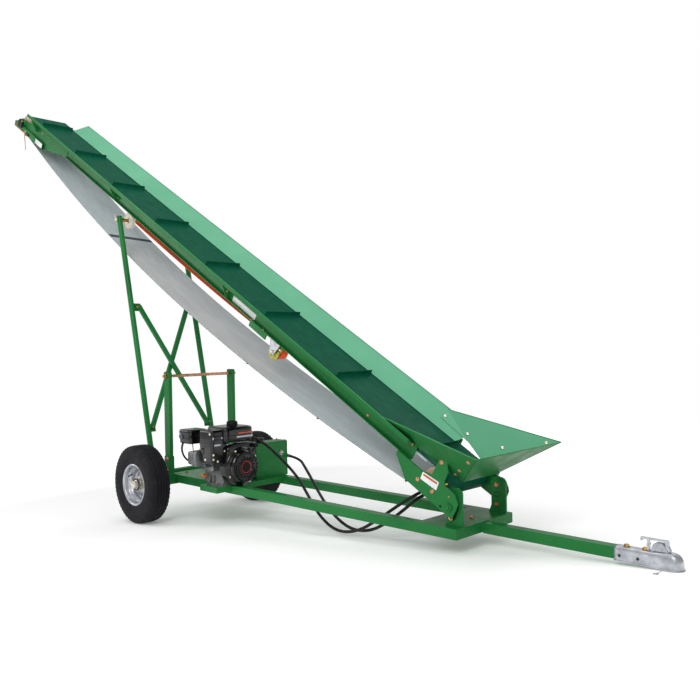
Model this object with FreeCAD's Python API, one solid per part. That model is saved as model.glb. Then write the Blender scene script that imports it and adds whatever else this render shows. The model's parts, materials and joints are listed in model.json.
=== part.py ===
import FreeCAD, Part

import math
import os

from FreeCAD import Vector

# A towed firewood conveyor: a two-wheeled tubular chassis with a petrol engine, a hydraulic tank and
# a drawbar, and a long belt conveyor boom that pivots at the hitch end and rests on a leaning pair of
# legs.  Sizes are in millimetres.
#
# Three working frames are used, and each piece is modelled in the one where it is simplest:
#   level  the chassis standing level: X towards the hitch, Y to the left, Z up, origin at the front
#          face of the front cross tube, on its centre line and top
#   boom   the boom laid level and pointing back, pivot at the origin: r is measured back along the
#          boom, n up from the belt's carrying surface
#   leg    a leg standing upright on its pivot: s is measured up the leg, o forward
# The finished model is then tipped forward about the axle until the coupler rests on the ground.

# ---------------------------------------------------------------- driving dimensions: chassis
TUBE = 50.0
TUBE_WALL = 3.0
FRAME_WIDTH = 470.0
FRAME_LENGTH = 2317.0
AXLE_BEAM_DEPTH = 60.0
AXLE_BEAM_LENGTH = 600.0
REAR_FRAME_LENGTH = 183.0
VENT_HOLE = 8.0
DRAWBAR_LENGTH = 790.0
DRAWBAR_DROP = 5.0
DECK_THICKNESS = 3.0
FRONT_DECK_LENGTH = 190.0
BEARER_DEPTH = 175.0
BEARER_HEIGHT = 34.0
BEARER_SETBACK = 1700.0
BEARER_OVERHANG = 108.0
BEARER_SHEET = 5.0
POST_WIDTH = 25.0
POST_HEIGHT = 686.0
POST_WALL = 2.5
POST_INSET = 27.5
SOCKET_HEIGHT = 126.0
SOCKET_WALL = 4.0
WELD_GAP = 2.0
POST_ROD_DIAMETER = 20.0
POST_ROD_DROP = 25.0
POST_ROD_TAIL = 22.0
NUT_THICKNESS = 12.0
NUT_DIAMETER = 32.0
BRACKET_THICKNESS = 10.0
BRACKET_DEPTH = 85.0
BRACKET_HEIGHT = 181.0
BELT_TO_BRACKET = 5.0
BRACKET_BORE = 30.0
BRACKET_CORNER = 30.0

# Flange bearings of the boom's pivot, on the outer faces of the brackets
BEARING_WIDTH = 18.0
BEARING_BOLT_SPACING = 100.0
BEARING_BODY_RADIUS = 34.0
BEARING_END_RADIUS = 14.0

# ---------------------------------------------------------------- driving dimensions: coupler
COUPLER_WALL = 3.5
COUPLER_REAR = 656.0
COUPLER_SLEEVE_END = 800.0
COUPLER_NOSE = 935.0
COUPLER_NOSE_RADIUS = 37.0
COUPLER_NOSE_RISE = 6.0
COUPLER_RIM = 60.0
BALL_SOCKET_RADIUS = 25.6
BALL_SOCKET_DEPTH = 14.0
LATCH_HEIGHT = 51.0
LATCH_SETBACK = 33.0

# ---------------------------------------------------------------- driving dimensions: wheels
TYRE_RADIUS = 252.0
TYRE_WIDTH = 138.0
WHEEL_TRACK = 938.0
WHEEL_DROP = 30.0
SPINDLE_DIAMETER = 35.0
SPINDLE_COLLAR = 8.0
SPINDLE_OVERHANG = 44.0
RUNNING_FIT = 0.05
RIM_BEAD_RADIUS = 123.0
RIM_FLANGE_RADIUS = 132.0
RIM_HALF_WIDTH = 63.0
RIM_WALL = 4.0
RIM_WELL_RADIUS = 102.0
RIM_DISC_OFFSET = 22.0
RIM_DISH = 10.0
HUB_RADIUS = 34.0
HUB_FLANGE_RADIUS = 58.0
HUB_FLANGE = 10.0
HUB_CAP_RADIUS = 27.0
HUB_LENGTH_IN = 62.0
HUB_LENGTH_OUT = 68.0

# ---------------------------------------------------------------- driving dimensions: boom
BOOM_ANGLE = 30.53
PIVOT_SETBACK = 54.0
PIVOT_HEIGHT = 92.0
PIVOT_DROP = 96.5
PIVOT_PIN_DIAMETER = 25.0
BELT_WIDTH = 344.0
BELT_THICKNESS = 5.0
BELT_SAG = 353.0
TAIL_REACH = 154.0
HEAD_REACH = 5414.0
DRUM_WRAP = 75.0
DRUM_GAP = 0.3
DRUM_LENGTH = 340.0
HEAD_SHAFT_DIAMETER = 35.0
TAIL_SHAFT_DIAMETER = 30.0
CLEAT_COUNT = 16
FIRST_CLEAT = 300.0
CLEAT_JOINT_SPACING = 557.0
CLEAT_HEIGHT = 30.0
CLEAT_BASE = 26.0
CLEAT_TIP = 6.0
CLEAT_WIDTH = 268.0
PAN_THICKNESS = 4.0
PAN_MARGIN = 12.0
PAN_END_GAP = 80.0
CHANNEL_START = 309.0
FLANGE_END = 4495.0
WEB_END = 5149.0
WEB_THICKNESS = 4.0
WEB_DEPTH = 48.0
FLANGE_WIDTH = 22.0
BOARD_START = 318.0
BOARD_END = 5189.0
BOARD_FOOT = 150.0
BOARD_TOP = 274.0
BOARD_FOOT_HEIGHT = 3.5
BOARD_TOP_HEIGHT = 72.5
SHEET = 3.0
LIP_DEPTH = 22.0
CROSSMEMBER_SPACING = 700.0
CROSSMEMBER_WIDTH = 40.0
GUSSET_REACHES = (2002.0, 3575.0, 5109.0)
GUSSET_THICKNESS = 5.0

# Boom side plates at the tail
SIDE_PLATE_THICKNESS = 8.0
SIDE_PLATE_HOLE = (42.0, -122.0)
SIDE_PLATE_HOLE_DIAMETER = 14.0
PIVOT_NUT_DIAMETER = 36.0
PIVOT_NUT_THICKNESS = 8.0

# Hopper corners: reach, half width, height above the belt
HOPPER_KINK_HALF_WIDTH = 262.0
HOPPER_LIP_CORNER = (-89.8, 361.0, 262.9)
HOPPER_FOOT_CORNER = (36.8, 138.0, 13.0)
HOPPER_SLIT_CORNER_HALF_WIDTH = 157.0
HOPPER_SLIT_CORNER_REACH = 162.0
HOPPER_KINK_REACH = 512.0
WING_FOOT_HALF_WIDTH = 189.0
WING_REAR = (496.0, 201.0)

# Take-up arms at the head
ARM_START = 4935.0
ARM_END = 5567.0
ARM_DEPTH = 47.0
ARM_WIDTH = 20.0
ARM_TOP = -93.0
HEAD_BEARING_DIAMETER = 75.0
HEAD_BEARING_LENGTH = 22.0
TAIL_BEARING_DIAMETER = 62.0
TAIL_BEARING_GAP = 2.0

# Hydraulic motor on the tail shaft
MOTOR_DIAMETER = 86.0
MOTOR_LENGTH = 118.0
MOTOR_FLANGE = 92.0
MOTOR_FLANGE_THICKNESS = 14.0
PORT_SPACING = 38.0
PORT_LENGTH = 16.0

# Winch and strap under the boom
WINCH_REACH = 1500.0
WINCH_DEPTH = 138.0
WINCH_SHAFT_DIAMETER = 16.0
GEAR_RADIUS = 48.0
GEAR_THICKNESS = 9.0
DRUM_RADIUS = 30.0
STRAP_WIDTH = 50.0
STRAP_THICKNESS = 2.0
STRAP_CENTRE = 105.0
CHEEK_THICKNESS = 4.0
WINCH_PLATE_START = 1552.0
WINCH_PLATE_END = 1724.0
WINCH_PLATE_DEPTH = 37.0
WINCH_PLATE_THICKNESS = 8.0
WINCH_SHELF_START = 1439.0
WINCH_SHELF_THICKNESS = 5.0

# ---------------------------------------------------------------- driving dimensions: legs
LEG_PIVOT_SETBACK = 2535.0
LEG_PIVOT_HEIGHT = -25.0
LEG_GAP = 7.0
LEG_TUBE_DIAMETER = 38.0
LEG_TUBE_WALL = 3.0
LEG_EYE_DIAMETER = 46.0
LEG_SHAFT_DIAMETER = 25.0
LEG_SHAFT_TAIL = 5.0
ROLLER_REACH = 3346.0
ROLLER_DIAMETER = 120.0
ROLLER_WIDTH = 31.0
ROLLER_GAP = 0.3
ROLLER_OFFSET = 5.0
UPPER_LUG_HEIGHT = 1197.0
LOWER_LUG_HEIGHT = 328.0
UPPER_LUG_REACH = 190.0
LOWER_LUG_REACH = 205.0
LUG_THICKNESS = 6.0
LUG_HEIGHT = 56.0
BRACE_WIDTH = 32.0
BRACE_THICKNESS = 18.0
BRACE_BOLT = 12.0

# ---------------------------------------------------------------- driving dimensions: power pack
ENGINE_OFFSET = -195.0
CRANK_HEIGHT = 120.0
RECOIL_FACE = 1597.0
RECOIL_RADIUS = 100.0
FAN_HOUSING_RADIUS = 122.0
FAN_HOUSING_LENGTH = 70.0
RECOIL_COVER_LENGTH = 33.0
CRANKCASE_WIDTH = 210.0
CRANKCASE_LENGTH = 200.0
FOOT_WIDTH = 220.0
FOOT_THICKNESS = 16.0
PUMP_LENGTH = 110.0
PUMP_WIDTH = 90.0
FUEL_TANK = (210.0, 230.0, 95.0)
FUEL_TANK_FLOOR = 270.0
FUEL_TANK_FRONT = 1640.0
FUEL_CAP_RADIUS = 34.0
TANK_FRONT = 1735.0
TANK_DEPTH = 100.0
TANK_LEFT = 250.0
TANK_RIGHT = -10.0
TANK_HEIGHT = 226.0
HOSE_DIAMETER = 17.0
FITTING_DIAMETER = 24.0
FITTING_LENGTH = 60.0

# ---------------------------------------------------------------- sizes worked out from these
FRAME_HALF = FRAME_WIDTH / 2
RAIL_INNER = FRAME_HALF - TUBE
AXLE_BEAM_REAR = FRAME_LENGTH + AXLE_BEAM_DEPTH
AXLE_HALF = AXLE_BEAM_LENGTH / 2
WHEEL_SETBACK = FRAME_LENGTH + AXLE_BEAM_DEPTH / 2
WHEEL_CENTRE = WHEEL_TRACK / 2
SPINDLE_END = WHEEL_CENTRE + SPINDLE_OVERHANG
REAR_FRAME_END = AXLE_BEAM_REAR + REAR_FRAME_LENGTH
POST_OUTER = AXLE_HALF - POST_INSET
POST_INNER = POST_OUTER - POST_WIDTH
BEARER_REAR = BEARER_SETBACK + BEARER_DEPTH

PAN_HALF = BELT_WIDTH / 2 + PAN_MARGIN
WEB_OUTER = PAN_HALF + WEB_THICKNESS
BRACKET_INNER = BELT_WIDTH / 2 + BELT_TO_BRACKET
BRACKET_OUTER = BRACKET_INNER + BRACKET_THICKNESS
BOARD_SLOPE = (BOARD_TOP_HEIGHT - BOARD_FOOT_HEIGHT) / (BOARD_TOP - BOARD_FOOT)
BOARD_DROP = SHEET * math.hypot(1.0, BOARD_SLOPE)
DRUM_AXIS = -DRUM_WRAP
DRUM_RADIUS_BARE = DRUM_WRAP - BELT_THICKNESS - DRUM_GAP
PAN_TOP = -BELT_THICKNESS - DRUM_GAP
PAN_BOTTOM = PAN_TOP - PAN_THICKNESS
FLANGE_TOP = -WEB_DEPTH + WEB_THICKNESS
FLANGE_OUTER = WEB_OUTER + FLANGE_WIDTH
SIDE_PLATE_INNER = FLANGE_OUTER
SIDE_PLATE_OUTER = SIDE_PLATE_INNER + SIDE_PLATE_THICKNESS

LEG_CENTRE = FRAME_HALF + LEG_GAP + LEG_TUBE_DIAMETER / 2
LEG_SHAFT_HALF = LEG_CENTRE + LEG_TUBE_DIAMETER / 2 + LEG_SHAFT_TAIL
ROLLER_CENTRE = WEB_OUTER - WEB_THICKNESS / 2 - ROLLER_OFFSET
ROLLER_DEPTH = WEB_DEPTH + ROLLER_GAP + ROLLER_DIAMETER / 2

ARM_INNER = WEB_OUTER + WEB_THICKNESS
ARM_OUTER = ARM_INNER + ARM_WIDTH
STRAP_WOUND_RADIUS = ROLLER_DEPTH - WINCH_DEPTH
STRAP_LOOP_RADIUS = LEG_SHAFT_DIAMETER / 2 + ROLLER_GAP

Y_AXIS = Vector(0, 1, 0)
PIVOT = Vector(-PIVOT_SETBACK, 0, PIVOT_HEIGHT)
LEG_PIVOT = Vector(-LEG_PIVOT_SETBACK, 0, LEG_PIVOT_HEIGHT)
WHEEL_AXLE = Vector(-WHEEL_SETBACK, 0, -WHEEL_DROP)

# Hose routes in the level frame.  Each is a hand-chosen list of points for one hanging hose.
PRESSURE_HOSE = [
    (-1978, -172, 196), (-1962, -98, 268), (-1840, -20, 290), (-1690, 10, 246), (-1500, -15, 172),
    (-1310, -40, 76), (-1150, -100, -10), (-1020, -135, -105), (-875, -145, -168), (-720, -142, -143),
    (-570, -140, -56), (-425, -140, 42), (-340, -85, 104), (-350, 40, 116), (-405, 165, 130),
    (-341, 262, 162), (-238, 268, 190),
]
RETURN_HOSE = [
    (-1762, 278, 120), (-1610, 250, 118), (-1470, 170, 84), (-1330, 95, 38), (-1200, 30, -18),
    (-1060, -50, -52), (-940, -85, -110), (-800, -105, -152), (-655, -112, -136), (-525, -115, -68),
    (-415, -112, 14), (-352, -60, 82), (-352, 80, 92), (-395, 200, 105), (-340, 300, 150),
    (-238, 306, 190),
]


# ---------------------------------------------------------------- shape helpers
def block(x0, x1, y0, y1, z0, z1):
    """A box between two corners."""
    low = Vector(min(x0, x1), min(y0, y1), min(z0, z1))
    return Part.makeBox(abs(x1 - x0), abs(y1 - y0), abs(z1 - z0), low)


def rod(start, end, radius):
    """A round bar between two points."""
    start = Vector(*start)
    end = Vector(*end)
    return Part.makeCylinder(radius, (end - start).Length, start, end - start)


def polygon_face(points):
    corners = [Vector(*point) for point in points]
    return Part.Face(Part.makePolygon(corners + corners[:1]))


def extrude(points, direction):
    """A flat plate: a polygon swept along one direction."""
    return polygon_face(points).extrude(Vector(*direction))


def side_profile(outline, y0, y1):
    """A plate standing along the machine: outline in (x, z), thick from y0 to y1."""
    return extrude([(x, y0, z) for x, z in outline], (0, y1 - y0, 0))


def plan_profile(outline, z0, z1):
    """A plate lying flat: outline in (x, y), thick from z0 to z1."""
    return extrude([(x, y, z0) for x, y in outline], (0, 0, z1 - z0))


def section_profile(outline, x0, x1):
    """A bar along the machine: outline in (y, z), long from x0 to x1."""
    return extrude([(x0, y, z) for y, z in outline], (x1 - x0, 0, 0))


def fuse(shapes):
    result = shapes[0].multiFuse(shapes[1:])
    return result.removeSplitter()


def mirrored(shape):
    return shape.mirror(Vector(0, 0, 0), Vector(0, 1, 0))


def pair(name, left_shape):
    """The left-hand piece and its mirror image on the right."""
    return {name + "_left": left_shape, name + "_right": mirrored(left_shape)}


def revolve_about_y(outline, centre_x, centre_y, centre_z):
    """A turned piece: outline in (distance along the axle, radius), turned about a line along Y."""
    face = polygon_face([(centre_x, centre_y + along, centre_z + radius) for along, radius in outline])
    return face.revolve(Vector(centre_x, centre_y, centre_z), Y_AXIS, 360)


def rounded(shape, radius, choose):
    """Fillet the edges that the given test picks."""
    edges = [edge for edge in shape.Edges if choose(edge)]
    return shape.makeFillet(radius, edges)


def is_along(edge, axis):
    if not isinstance(edge.Curve, Part.Line):
        return False
    return abs(edge.tangentAt(edge.FirstParameter).dot(axis)) > 0.999


# ---------------------------------------------------------------- boom frame helpers
def boom_point(reach, y, height):
    return (-reach, y, height + PIVOT_DROP)


def boom_box(reach0, reach1, y0, y1, height0, height1):
    return block(-reach1, -reach0, y0, y1, height0 + PIVOT_DROP, height1 + PIVOT_DROP)


def boom_plate(outline, y0, y1):
    """A plate standing along the boom: outline in (reach, height)."""
    return side_profile([(-reach, height + PIVOT_DROP) for reach, height in outline], y0, y1)


def boom_bar(outline, reach0, reach1):
    """A bar along the boom: outline in (y, height)."""
    return section_profile([(y, height + PIVOT_DROP) for y, height in outline], -reach0, -reach1)


def boom_rod(reach, height, y0, y1, radius):
    return rod(boom_point(reach, y0, height), boom_point(reach, y1, height), radius)


def raise_boom(shape):
    """From the boom frame to the level frame."""
    placed = shape.copy()
    placed.rotate(Vector(0, 0, 0), Y_AXIS, BOOM_ANGLE)
    placed.translate(PIVOT)
    return placed


def boom_to_level(reach, y, height):
    angle = math.radians(BOOM_ANGLE)
    up = height + PIVOT_DROP
    x = PIVOT.x - reach * math.cos(angle) + up * math.sin(angle)
    z = PIVOT.z + reach * math.sin(angle) + up * math.cos(angle)
    return Vector(x, y, z)


def board_height(y):
    """Height of a side board's upper surface at a distance from the centre line."""
    return BOARD_FOOT_HEIGHT + (y - BOARD_FOOT) * BOARD_SLOPE


# ---------------------------------------------------------------- leg frame helpers
LEG_TOP = boom_to_level(ROLLER_REACH, 0, -ROLLER_DEPTH)
LEG_LENGTH = (LEG_TOP - LEG_PIVOT).Length
LEG_LEAN = math.degrees(math.atan2(LEG_PIVOT.x - LEG_TOP.x, LEG_TOP.z - LEG_PIVOT.z))


def lean_legs(shape):
    """From the leg frame to the level frame."""
    placed = shape.copy()
    placed.rotate(Vector(0, 0, 0), Y_AXIS, -LEG_LEAN)
    placed.translate(LEG_PIVOT)
    return placed


# ---------------------------------------------------------------- chassis
def rail():
    """Left side rail, mitred at the front corner."""
    outline = [(0, FRAME_HALF), (-TUBE, RAIL_INNER), (-FRAME_LENGTH, RAIL_INNER), (-FRAME_LENGTH, FRAME_HALF)]
    tube = plan_profile(outline, -TUBE, 0)
    bore = block(-FRAME_LENGTH, 0, RAIL_INNER + TUBE_WALL, FRAME_HALF - TUBE_WALL, -TUBE + TUBE_WALL, -TUBE_WALL)
    return tube.cut(bore)


def front_cross_tube():
    outline = [(0, -FRAME_HALF), (0, FRAME_HALF), (-TUBE, RAIL_INNER), (-TUBE, -RAIL_INNER)]
    tube = plan_profile(outline, -TUBE, 0)
    bore = block(-TUBE + TUBE_WALL, -TUBE_WALL, -FRAME_HALF, FRAME_HALF, -TUBE + TUBE_WALL, -TUBE_WALL)
    return tube.cut(bore)


def axle_beam():
    """Axle beam with its end collars, spindles and the two sockets that hold the posts."""
    front = -FRAME_LENGTH
    rear = -AXLE_BEAM_REAR
    foot = -AXLE_BEAM_DEPTH
    tube = block(rear, front, -AXLE_HALF, AXLE_HALF, foot, 0)
    bore = block(rear + TUBE_WALL, front - TUBE_WALL, -AXLE_HALF, AXLE_HALF, foot + TUBE_WALL, -TUBE_WALL)
    vent = rod((-WHEEL_SETBACK, 0, foot - 1), (-WHEEL_SETBACK, 0, foot / 2), VENT_HOLE / 2)
    tube = tube.cut(bore).cut(vent)
    pieces = [tube]
    for side in (-1, 1):
        collar_end = side * (AXLE_HALF + SPINDLE_COLLAR)
        collar = block(rear, front, side * AXLE_HALF, collar_end, foot, 0)
        spindle = rod((WHEEL_AXLE.x, collar_end, WHEEL_AXLE.z), (WHEEL_AXLE.x, side * SPINDLE_END, WHEEL_AXLE.z),
                      SPINDLE_DIAMETER / 2)
        outer = block(rear - SOCKET_WALL, front + SOCKET_WALL, side * (POST_INNER - SOCKET_WALL),
                      side * (POST_OUTER + SOCKET_WALL), 0, SOCKET_HEIGHT)
        inner = block(rear, front, side * POST_INNER, side * POST_OUTER, 0, SOCKET_HEIGHT)
        socket = outer.cut(inner)
        for edge, face in ((rear - SOCKET_WALL, rear), (front, front + SOCKET_WALL)):
            socket = socket.cut(block(edge, face, -AXLE_HALF, AXLE_HALF, 0, WELD_GAP))
        pieces += [collar, spindle, socket]
    return fuse(pieces)


def rear_frame():
    """The short frame behind the axle beam, with the stub shafts that carry the legs."""
    front = -AXLE_BEAM_REAR
    rear = -REAR_FRAME_END
    pieces = []
    cross = block(rear, rear + TUBE, -FRAME_HALF, FRAME_HALF, -TUBE, 0)
    cross_end = FRAME_HALF - TUBE_WALL
    bore = block(rear + TUBE_WALL, rear + TUBE - TUBE_WALL, -cross_end, cross_end, -TUBE + TUBE_WALL, -TUBE_WALL)
    vent = rod((rear + TUBE / 2, 0, -TUBE - 1), (rear + TUBE / 2, 0, -TUBE / 2), VENT_HOLE / 2)
    pieces.append(cross.cut(bore).cut(vent))
    for side in (-1, 1):
        tube = block(rear + TUBE, front, side * RAIL_INNER, side * FRAME_HALF, -TUBE, 0)
        hollow = block(rear + TUBE, front, side * (RAIL_INNER + TUBE_WALL), side * (FRAME_HALF - TUBE_WALL),
                       -TUBE + TUBE_WALL, -TUBE_WALL)
        stub = rod((LEG_PIVOT.x, side * cross_end, LEG_PIVOT.z), (LEG_PIVOT.x, side * LEG_SHAFT_HALF, LEG_PIVOT.z),
                   LEG_SHAFT_DIAMETER / 2)
        pieces += [tube.cut(hollow), stub]
    return fuse(pieces)


def post():
    """Left upright post, standing in its socket."""
    front = -FRAME_LENGTH
    rear = -AXLE_BEAM_REAR
    tube = block(rear, front, POST_INNER, POST_OUTER, 0, POST_HEIGHT)
    bore = block(rear + POST_WALL, front - POST_WALL, POST_INNER + POST_WALL, POST_OUTER - POST_WALL, 0, POST_HEIGHT)
    height = POST_HEIGHT - POST_ROD_DROP
    centre = (front + rear) / 2
    hole = rod((centre, POST_INNER - 1, height), (centre, POST_OUTER + 1, height), POST_ROD_DIAMETER / 2)
    return tube.cut(bore).cut(hole)


def post_rod():
    """The rod that ties the post tops, with a nut outside each post."""
    height = POST_HEIGHT - POST_ROD_DROP
    centre = -FRAME_LENGTH - AXLE_BEAM_DEPTH / 2
    end = POST_OUTER + POST_ROD_TAIL
    pieces = [rod((centre, -end, height), (centre, end, height), POST_ROD_DIAMETER / 2)]
    for side in (-1, 1):
        start = (centre, side * POST_OUTER, height)
        stop = (centre, side * (POST_OUTER + NUT_THICKNESS), height)
        pieces.append(rod(start, stop, NUT_DIAMETER / 2))
    return fuse(pieces)


def engine_deck():
    """Sheet deck on the rails behind the engine bearer."""
    return block(-AXLE_BEAM_REAR, -BEARER_REAR, -FRAME_HALF, FRAME_HALF, 0, DECK_THICKNESS)


def front_deck():
    """Sheet let in flush between the rails behind the front cross tube; the brackets stand on it."""
    return block(-TUBE - FRONT_DECK_LENGTH, -TUBE, -RAIL_INNER, RAIL_INNER, -DECK_THICKNESS, 0)


def engine_bearer():
    """Folded channel across the rails that carries the engine: the middle length and the outrigger."""
    outer = FRAME_HALF + BEARER_OVERHANG
    lengths = [(-RAIL_INNER, RAIL_INNER), (-outer, -FRAME_HALF)]
    pieces = []
    for y0, y1 in lengths:
        shell = block(-BEARER_REAR, -BEARER_SETBACK, y0, y1, -BEARER_HEIGHT, 0)
        inside = block(-BEARER_REAR + BEARER_SHEET, -BEARER_SETBACK - BEARER_SHEET, y0, y1,
                       -BEARER_HEIGHT, -BEARER_SHEET)
        pieces.append(shell.cut(inside))
    end_plate = block(-BEARER_REAR, -BEARER_SETBACK, -outer, -outer + BEARER_SHEET, -BEARER_HEIGHT, 0)
    pieces[1] = fuse([pieces[1], end_plate])
    return Part.makeCompound(pieces)


def drawbar():
    top = -DRAWBAR_DROP
    tube = block(0, DRAWBAR_LENGTH, -TUBE / 2, TUBE / 2, top - TUBE, top)
    bore = block(0, DRAWBAR_LENGTH, -TUBE / 2 + TUBE_WALL, TUBE / 2 - TUBE_WALL,
                 top - TUBE + TUBE_WALL, top - TUBE_WALL)
    return tube.cut(bore)


def coupler_body():
    """Pressed coupler: a channel over the drawbar that narrows to a domed nose with the ball socket."""
    inside = TUBE / 2
    outside = inside + COUPLER_WALL
    drawbar_top = -DRAWBAR_DROP
    top = drawbar_top + COUPLER_WALL
    ball_x = COUPLER_NOSE - COUPLER_NOSE_RADIUS
    neck = ball_x - 10.0
    nose_top = COUPLER_NOSE_RISE
    sleeve = block(COUPLER_REAR, COUPLER_SLEEVE_END, -outside, outside, -COUPLER_RIM, top)
    sleeve = sleeve.cut(block(COUPLER_REAR, COUPLER_SLEEVE_END, -inside, inside, -COUPLER_RIM, drawbar_top))
    spread = COUPLER_NOSE_RADIUS - outside
    plan = [(COUPLER_SLEEVE_END, -outside), (neck, -outside - spread), (neck, outside + spread),
            (COUPLER_SLEEVE_END, outside)]
    profile = [(COUPLER_SLEEVE_END, -COUPLER_RIM), (COUPLER_SLEEVE_END, top), (neck, nose_top),
               (neck, -COUPLER_RIM)]
    shoulder = plan_profile(plan, -COUPLER_RIM, nose_top + 1).common(side_profile(profile, -100, 100))
    inner_plan = [(COUPLER_SLEEVE_END, -inside), (neck - 20, -inside - spread), (neck - 20, inside + spread),
                  (COUPLER_SLEEVE_END, inside)]
    inner_profile = [(COUPLER_SLEEVE_END, -COUPLER_RIM), (COUPLER_SLEEVE_END, drawbar_top),
                     (neck - 20, nose_top - COUPLER_WALL), (neck - 20, -COUPLER_RIM)]
    cavity = plan_profile(inner_plan, -COUPLER_RIM, nose_top + 1).common(side_profile(inner_profile, -100, 100))
    shoulder = shoulder.cut(cavity)
    nose = Part.makeCylinder(COUPLER_NOSE_RADIUS, COUPLER_RIM + COUPLER_NOSE_RISE, Vector(ball_x, 0, -COUPLER_RIM))
    nose = rounded(nose, COUPLER_NOSE_RADIUS * 0.45,
                   lambda edge: edge.BoundBox.ZMin > nose_top - 1 and edge.BoundBox.XLength > 1)
    body = fuse([sleeve, shoulder, nose])
    socket = Part.makeCylinder(BALL_SOCKET_RADIUS, BALL_SOCKET_DEPTH, Vector(ball_x, 0, -COUPLER_RIM))
    dome = Part.makeSphere(BALL_SOCKET_RADIUS, Vector(ball_x, 0, -COUPLER_RIM + BALL_SOCKET_DEPTH))
    return body.cut(socket).cut(dome)


def coupler_latch():
    """Latch lever on top of the coupler: a post on the nose, a bent lever and its rear catch."""
    ball_x = COUPLER_NOSE - COUPLER_NOSE_RADIUS
    top = -DRAWBAR_DROP + COUPLER_WALL
    post_x = ball_x - LATCH_SETBACK
    slope = (top - COUPLER_NOSE_RISE) / (ball_x - 10.0 - COUPLER_SLEEVE_END)
    seat = top - (post_x - COUPLER_SLEEVE_END) * slope - 1.0
    pieces = [
        rod((post_x, 0, seat), (post_x, 0, LATCH_HEIGHT), 9.0),
        block(post_x - 105, post_x + 6, -8, 8, LATCH_HEIGHT - 6, LATCH_HEIGHT),
        block(post_x - 78, post_x - 70, -8, 8, top, LATCH_HEIGHT - 6),
        block(post_x - 105, post_x - 99, -8, 8, LATCH_HEIGHT - 14, LATCH_HEIGHT - 6),
    ]
    return fuse(pieces).cut(coupler_body())


def pivot_bracket():
    """Left upright bracket that carries the boom's pivot pin."""
    outline = [(0, 0), (0, BRACKET_HEIGHT), (-BRACKET_DEPTH, BRACKET_HEIGHT), (-BRACKET_DEPTH, 40),
               (-BRACKET_DEPTH - 15, 0)]
    plate = side_profile(outline, BRACKET_INNER, BRACKET_OUTER)
    plate = rounded(plate, BRACKET_CORNER, lambda edge: is_along(edge, Y_AXIS) and edge.BoundBox.ZMin > 100)
    hole = rod((PIVOT.x, BRACKET_INNER - 1, PIVOT.z), (PIVOT.x, BRACKET_OUTER + 1, PIVOT.z), BRACKET_BORE / 2)
    return plate.cut(hole)


def pivot_bearings():
    """Oval two-bolt flange bearings, one on the outer face of each bracket, that the pivot pins turn in."""
    y0 = BRACKET_OUTER
    y1 = BRACKET_OUTER + BEARING_WIDTH
    half = BEARING_BOLT_SPACING / 2
    body = rod((PIVOT.x, y0, PIVOT.z), (PIVOT.x, y1, PIVOT.z), BEARING_BODY_RADIUS)
    lean = math.acos((BEARING_BODY_RADIUS - BEARING_END_RADIUS) / half)
    across = math.sin(lean)
    along = math.cos(lean)
    ears = []
    for radius, height in ((BEARING_END_RADIUS, half), (BEARING_BODY_RADIUS, 0.0)):
        ears.append((radius * across, height + radius * along))
    upper = [ears[1], ears[0], (-ears[0][0], ears[0][1]), (-ears[1][0], ears[1][1])]
    outline = upper + [(x, -z) for x, z in reversed(upper)]
    flange = side_profile([(PIVOT.x + x, PIVOT.z + z) for x, z in outline], y0, y0 + BEARING_WIDTH * 0.6)
    pieces = [body, flange]
    for side in (-1, 1):
        centre = PIVOT.z + side * half
        pieces.append(rod((PIVOT.x, y0, centre), (PIVOT.x, y0 + BEARING_WIDTH * 0.6, centre), BEARING_END_RADIUS))
    housing = fuse(pieces).cut(rod((PIVOT.x, y0 - 1, PIVOT.z), (PIVOT.x, y1 + 1, PIVOT.z),
                                   PIVOT_PIN_DIAMETER / 2 + RUNNING_FIT))
    return Part.makeCompound([housing, mirrored(housing)])


# ---------------------------------------------------------------- wheels
def tyre():
    """Left tyre: a hollow ring that grips the rim's two bead seats."""
    half = TYRE_WIDTH / 2
    centre = (WHEEL_AXLE.x, WHEEL_CENTRE, WHEEL_AXLE.z)
    seat_out = RIM_HALF_WIDTH - 6.0
    seat_in = RIM_HALF_WIDTH - 28.0
    crown = half - 52.0
    outer = [(seat_in, RIM_BEAD_RADIUS), (seat_out, RIM_BEAD_RADIUS), (seat_out, RIM_FLANGE_RADIUS + 6),
             (half - 4, RIM_FLANGE_RADIUS + 26), (half, TYRE_RADIUS - 66), (half - 2, TYRE_RADIUS - 40),
             (half - 8, TYRE_RADIUS - 20), (half - 18, TYRE_RADIUS - 8), (half - 32, TYRE_RADIUS - 2.5),
             (crown, TYRE_RADIUS)]
    inner = [(crown, TYRE_RADIUS - 14), (half - 32, TYRE_RADIUS - 17), (half - 17, TYRE_RADIUS - 32),
             (half - 10, TYRE_RADIUS - 58), (half - 14, RIM_FLANGE_RADIUS + 22), (seat_in, RIM_FLANGE_RADIUS + 4)]
    outline = outer + [(-along, radius) for along, radius in reversed(outer)]
    outline += [(-along, radius) for along, radius in reversed(inner)] + inner
    return revolve_about_y(outline, *centre)


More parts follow.
